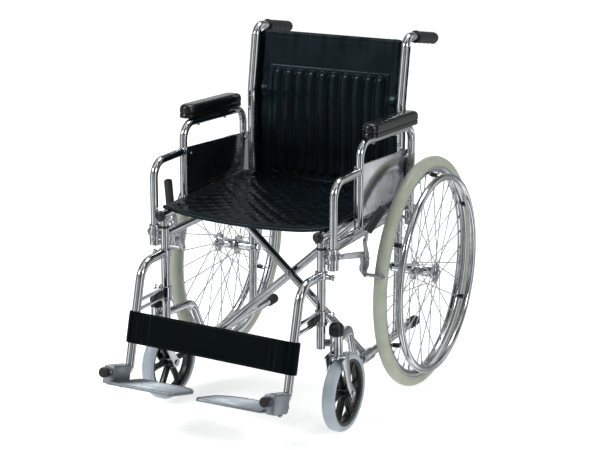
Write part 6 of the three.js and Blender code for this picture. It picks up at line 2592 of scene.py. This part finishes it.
@dataclass(frozen=True)
class Studio:
    """Camera, pale floor, soft lights and surroundings."""

    camera_place: Vector = field(default_factory=lambda: Vector((1.923, -4.026, 1.625)))
    azimuth: float = 26.31
    elevation: float = 15.4
    roll: float = 0.15
    lens: float = 103.26
    shift: tuple[float, float] = (-0.0025, -0.0012)

    def build(self) -> None:
        """Builds the whole studio."""
        self.build_camera()
        self.build_floor()
        self.build_surroundings()
        self.build_lights()
        view = bpy.context.scene.view_settings
        view.view_transform = "Standard"
        view.look = "None"

    def build_camera(self) -> None:
        """Places the camera in front of the chair, to the sitter's left, looking down a little."""
        data = bpy.data.cameras.new("camera")
        data.lens = self.lens
        data.sensor_width = 36.0
        data.shift_x, data.shift_y = self.shift
        data.clip_end = 60
        camera = bpy.data.objects.new("camera", data)
        camera.location = self.camera_place + Y_AXIS * (AXLE_Y * MM)
        turn = Matrix.Rotation(math.radians(self.azimuth), 4, "Z")
        tip = Matrix.Rotation(math.radians(90 - self.elevation), 4, "X")
        roll = Matrix.Rotation(math.radians(self.roll), 4, "Z")
        camera.rotation_euler = (turn @ tip @ roll).to_euler()
        bpy.context.scene.collection.objects.link(camera)
        bpy.context.scene.camera = camera

    def build_floor(self) -> None:
        """Lays the pale floor."""
        mesh = bpy.data.meshes.new("floor")
        size = 24.0
        corners = [(-size, -size, 0), (size, -size, 0), (size, size, 0), (-size, size, 0)]
        mesh.from_pydata(corners, [], [(0, 1, 2, 3)])
        floor = bpy.data.objects.new("floor", mesh)
        bpy.context.scene.collection.objects.link(floor)
        # a back-lit acrylic sheet: even white, with only a breath of shadow under the wheels
        material, tree, shader = new_material("lit_acrylic_floor")
        shade = blend_colours(tree, speckle(tree, 600, 2), "#f4f4f4", "#fafafa")
        tree.links.new(shade, shader.inputs["Base Color"])
        tree.links.new(shade, shader.inputs["Emission Color"])
        shader.inputs["Emission Strength"].default_value = 0.62
        shader.inputs["Roughness"].default_value = 0.9
        shader.inputs["Specular IOR Level"].default_value = 0.0
        mesh.materials.append(material)
        floor.visible_glossy = False  # the plating mirrors the room's dark and light strips instead
        floor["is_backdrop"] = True

    def build_surroundings(self) -> None:
        """Makes the pale room, with darker strips between its soft panels for the chrome."""
        world = bpy.data.worlds.new("pale_room")
        bpy.context.scene.world = world
        world.use_nodes = True
        tree = world.node_tree
        background = tree.nodes["Background"]
        place = add_node(tree, "ShaderNodeTexCoord").outputs["Generated"]
        parts = add_node(tree, "ShaderNodeSeparateXYZ", None, {0: place}).outputs
        bearing = add_node(tree, "ShaderNodeMath", {"operation": "ARCTAN2"}, {0: parts["X"], 1: parts["Y"]})
        share = ranged(tree, bearing.outputs[0], 0.0, 1.0, -math.pi, math.pi)
        strips = self.ramp(tree, share, ROOM_STRIPS)
        levels = self.ramp(tree, ranged(tree, parts["Z"], 0.0, 1.0, -1.0, 1.0), ROOM_LEVELS)
        multiply = {"data_type": "RGBA", "blend_type": "MULTIPLY", 0: 1.0}
        mixed = add_node(tree, "ShaderNodeMix", multiply, {6: strips, 7: levels})
        plain = add_node(tree, "ShaderNodeRGB")
        plain.outputs[0].default_value = (1.0, 1.0, 1.0, 1.0)
        seen = add_node(tree, "ShaderNodeLightPath").outputs["Is Camera Ray"]
        choice = {0: seen, 6: mixed.outputs[2], 7: plain.outputs[0]}
        shown = add_node(tree, "ShaderNodeMix", {"data_type": "RGBA"}, choice)
        tree.links.new(shown.outputs[2], background.inputs["Color"])
        background.inputs["Strength"].default_value = 1.0

    def ramp(self, tree: Tree, share: Socket, stops: Outline) -> Socket:
        """Adds a ramp of greys.

        Args:
            tree: Node tree to work in.
            share: Place on the ramp.
            stops: Place and brightness pairs.

        Returns:
            The ramp's colour.
        """
        node = add_node(tree, "ShaderNodeValToRGB", None, {0: share})
        elements = node.color_ramp.elements
        while len(elements) < len(stops):
            elements.new(0.5)
        for element, (position, level) in zip(elements, stops):
            element.position = position
            element.color = (level, level, level, 1.0)
        return node.outputs["Color"]

    def build_lights(self) -> None:
        """Hangs three soft panels."""
        panels = [
            ("key_panel", (-2.6, -3.2, 3.4), 1.6, 95.0),
            ("fill_panel", (3.6, -1.4, 2.6), 1.2, 30.0),
            ("top_panel", (0.3, 1.2, 4.2), 2.2, 60.0),
        ]
        for name, place, size, watts in panels:
            data = bpy.data.lights.new(name, "AREA")
            data.shape = "RECTANGLE"
            data.size = size
            data.size_y = size * 0.7
            data.energy = watts
            lamp = bpy.data.objects.new(name, data)
            lamp.location = place
            aim = Vector((0, 0, 0.4)) - Vector(place)
            lamp.rotation_euler = aim.to_track_quat("-Z", "Y").to_euler()
            bpy.context.scene.collection.objects.link(lamp)


# ------------------------------------------------------------------------------- main


def write_sizes() -> None:
    """Gathers the CAD box and the visual model's box as plain lists of corners."""
    boxes = {"cad": CAD_BOX, "visual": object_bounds()}
    plain = {name: [list(corner) for corner in box] for name, box in boxes.items()}


def main() -> None:
    """Builds the chair and its studio."""
    logging.basicConfig(level=logging.INFO, format="%(message)s")
    finishes = Finishes()
    Studio().build()
    for side in Side:
        for assembly in (SideFrame, RearWheel, Caster, Armrest, WheelLock, Footrest):
            assembly(side, finishes).build()
            LOG.info("%s %s done", side.hand, assembly.__name__)
    Brace(finishes).build()
    SeatSling(finishes).build()
    BackSling(finishes).build()
    CalfStrap(finishes).build()
    write_sizes()


if __name__ == "__main__":
    main()
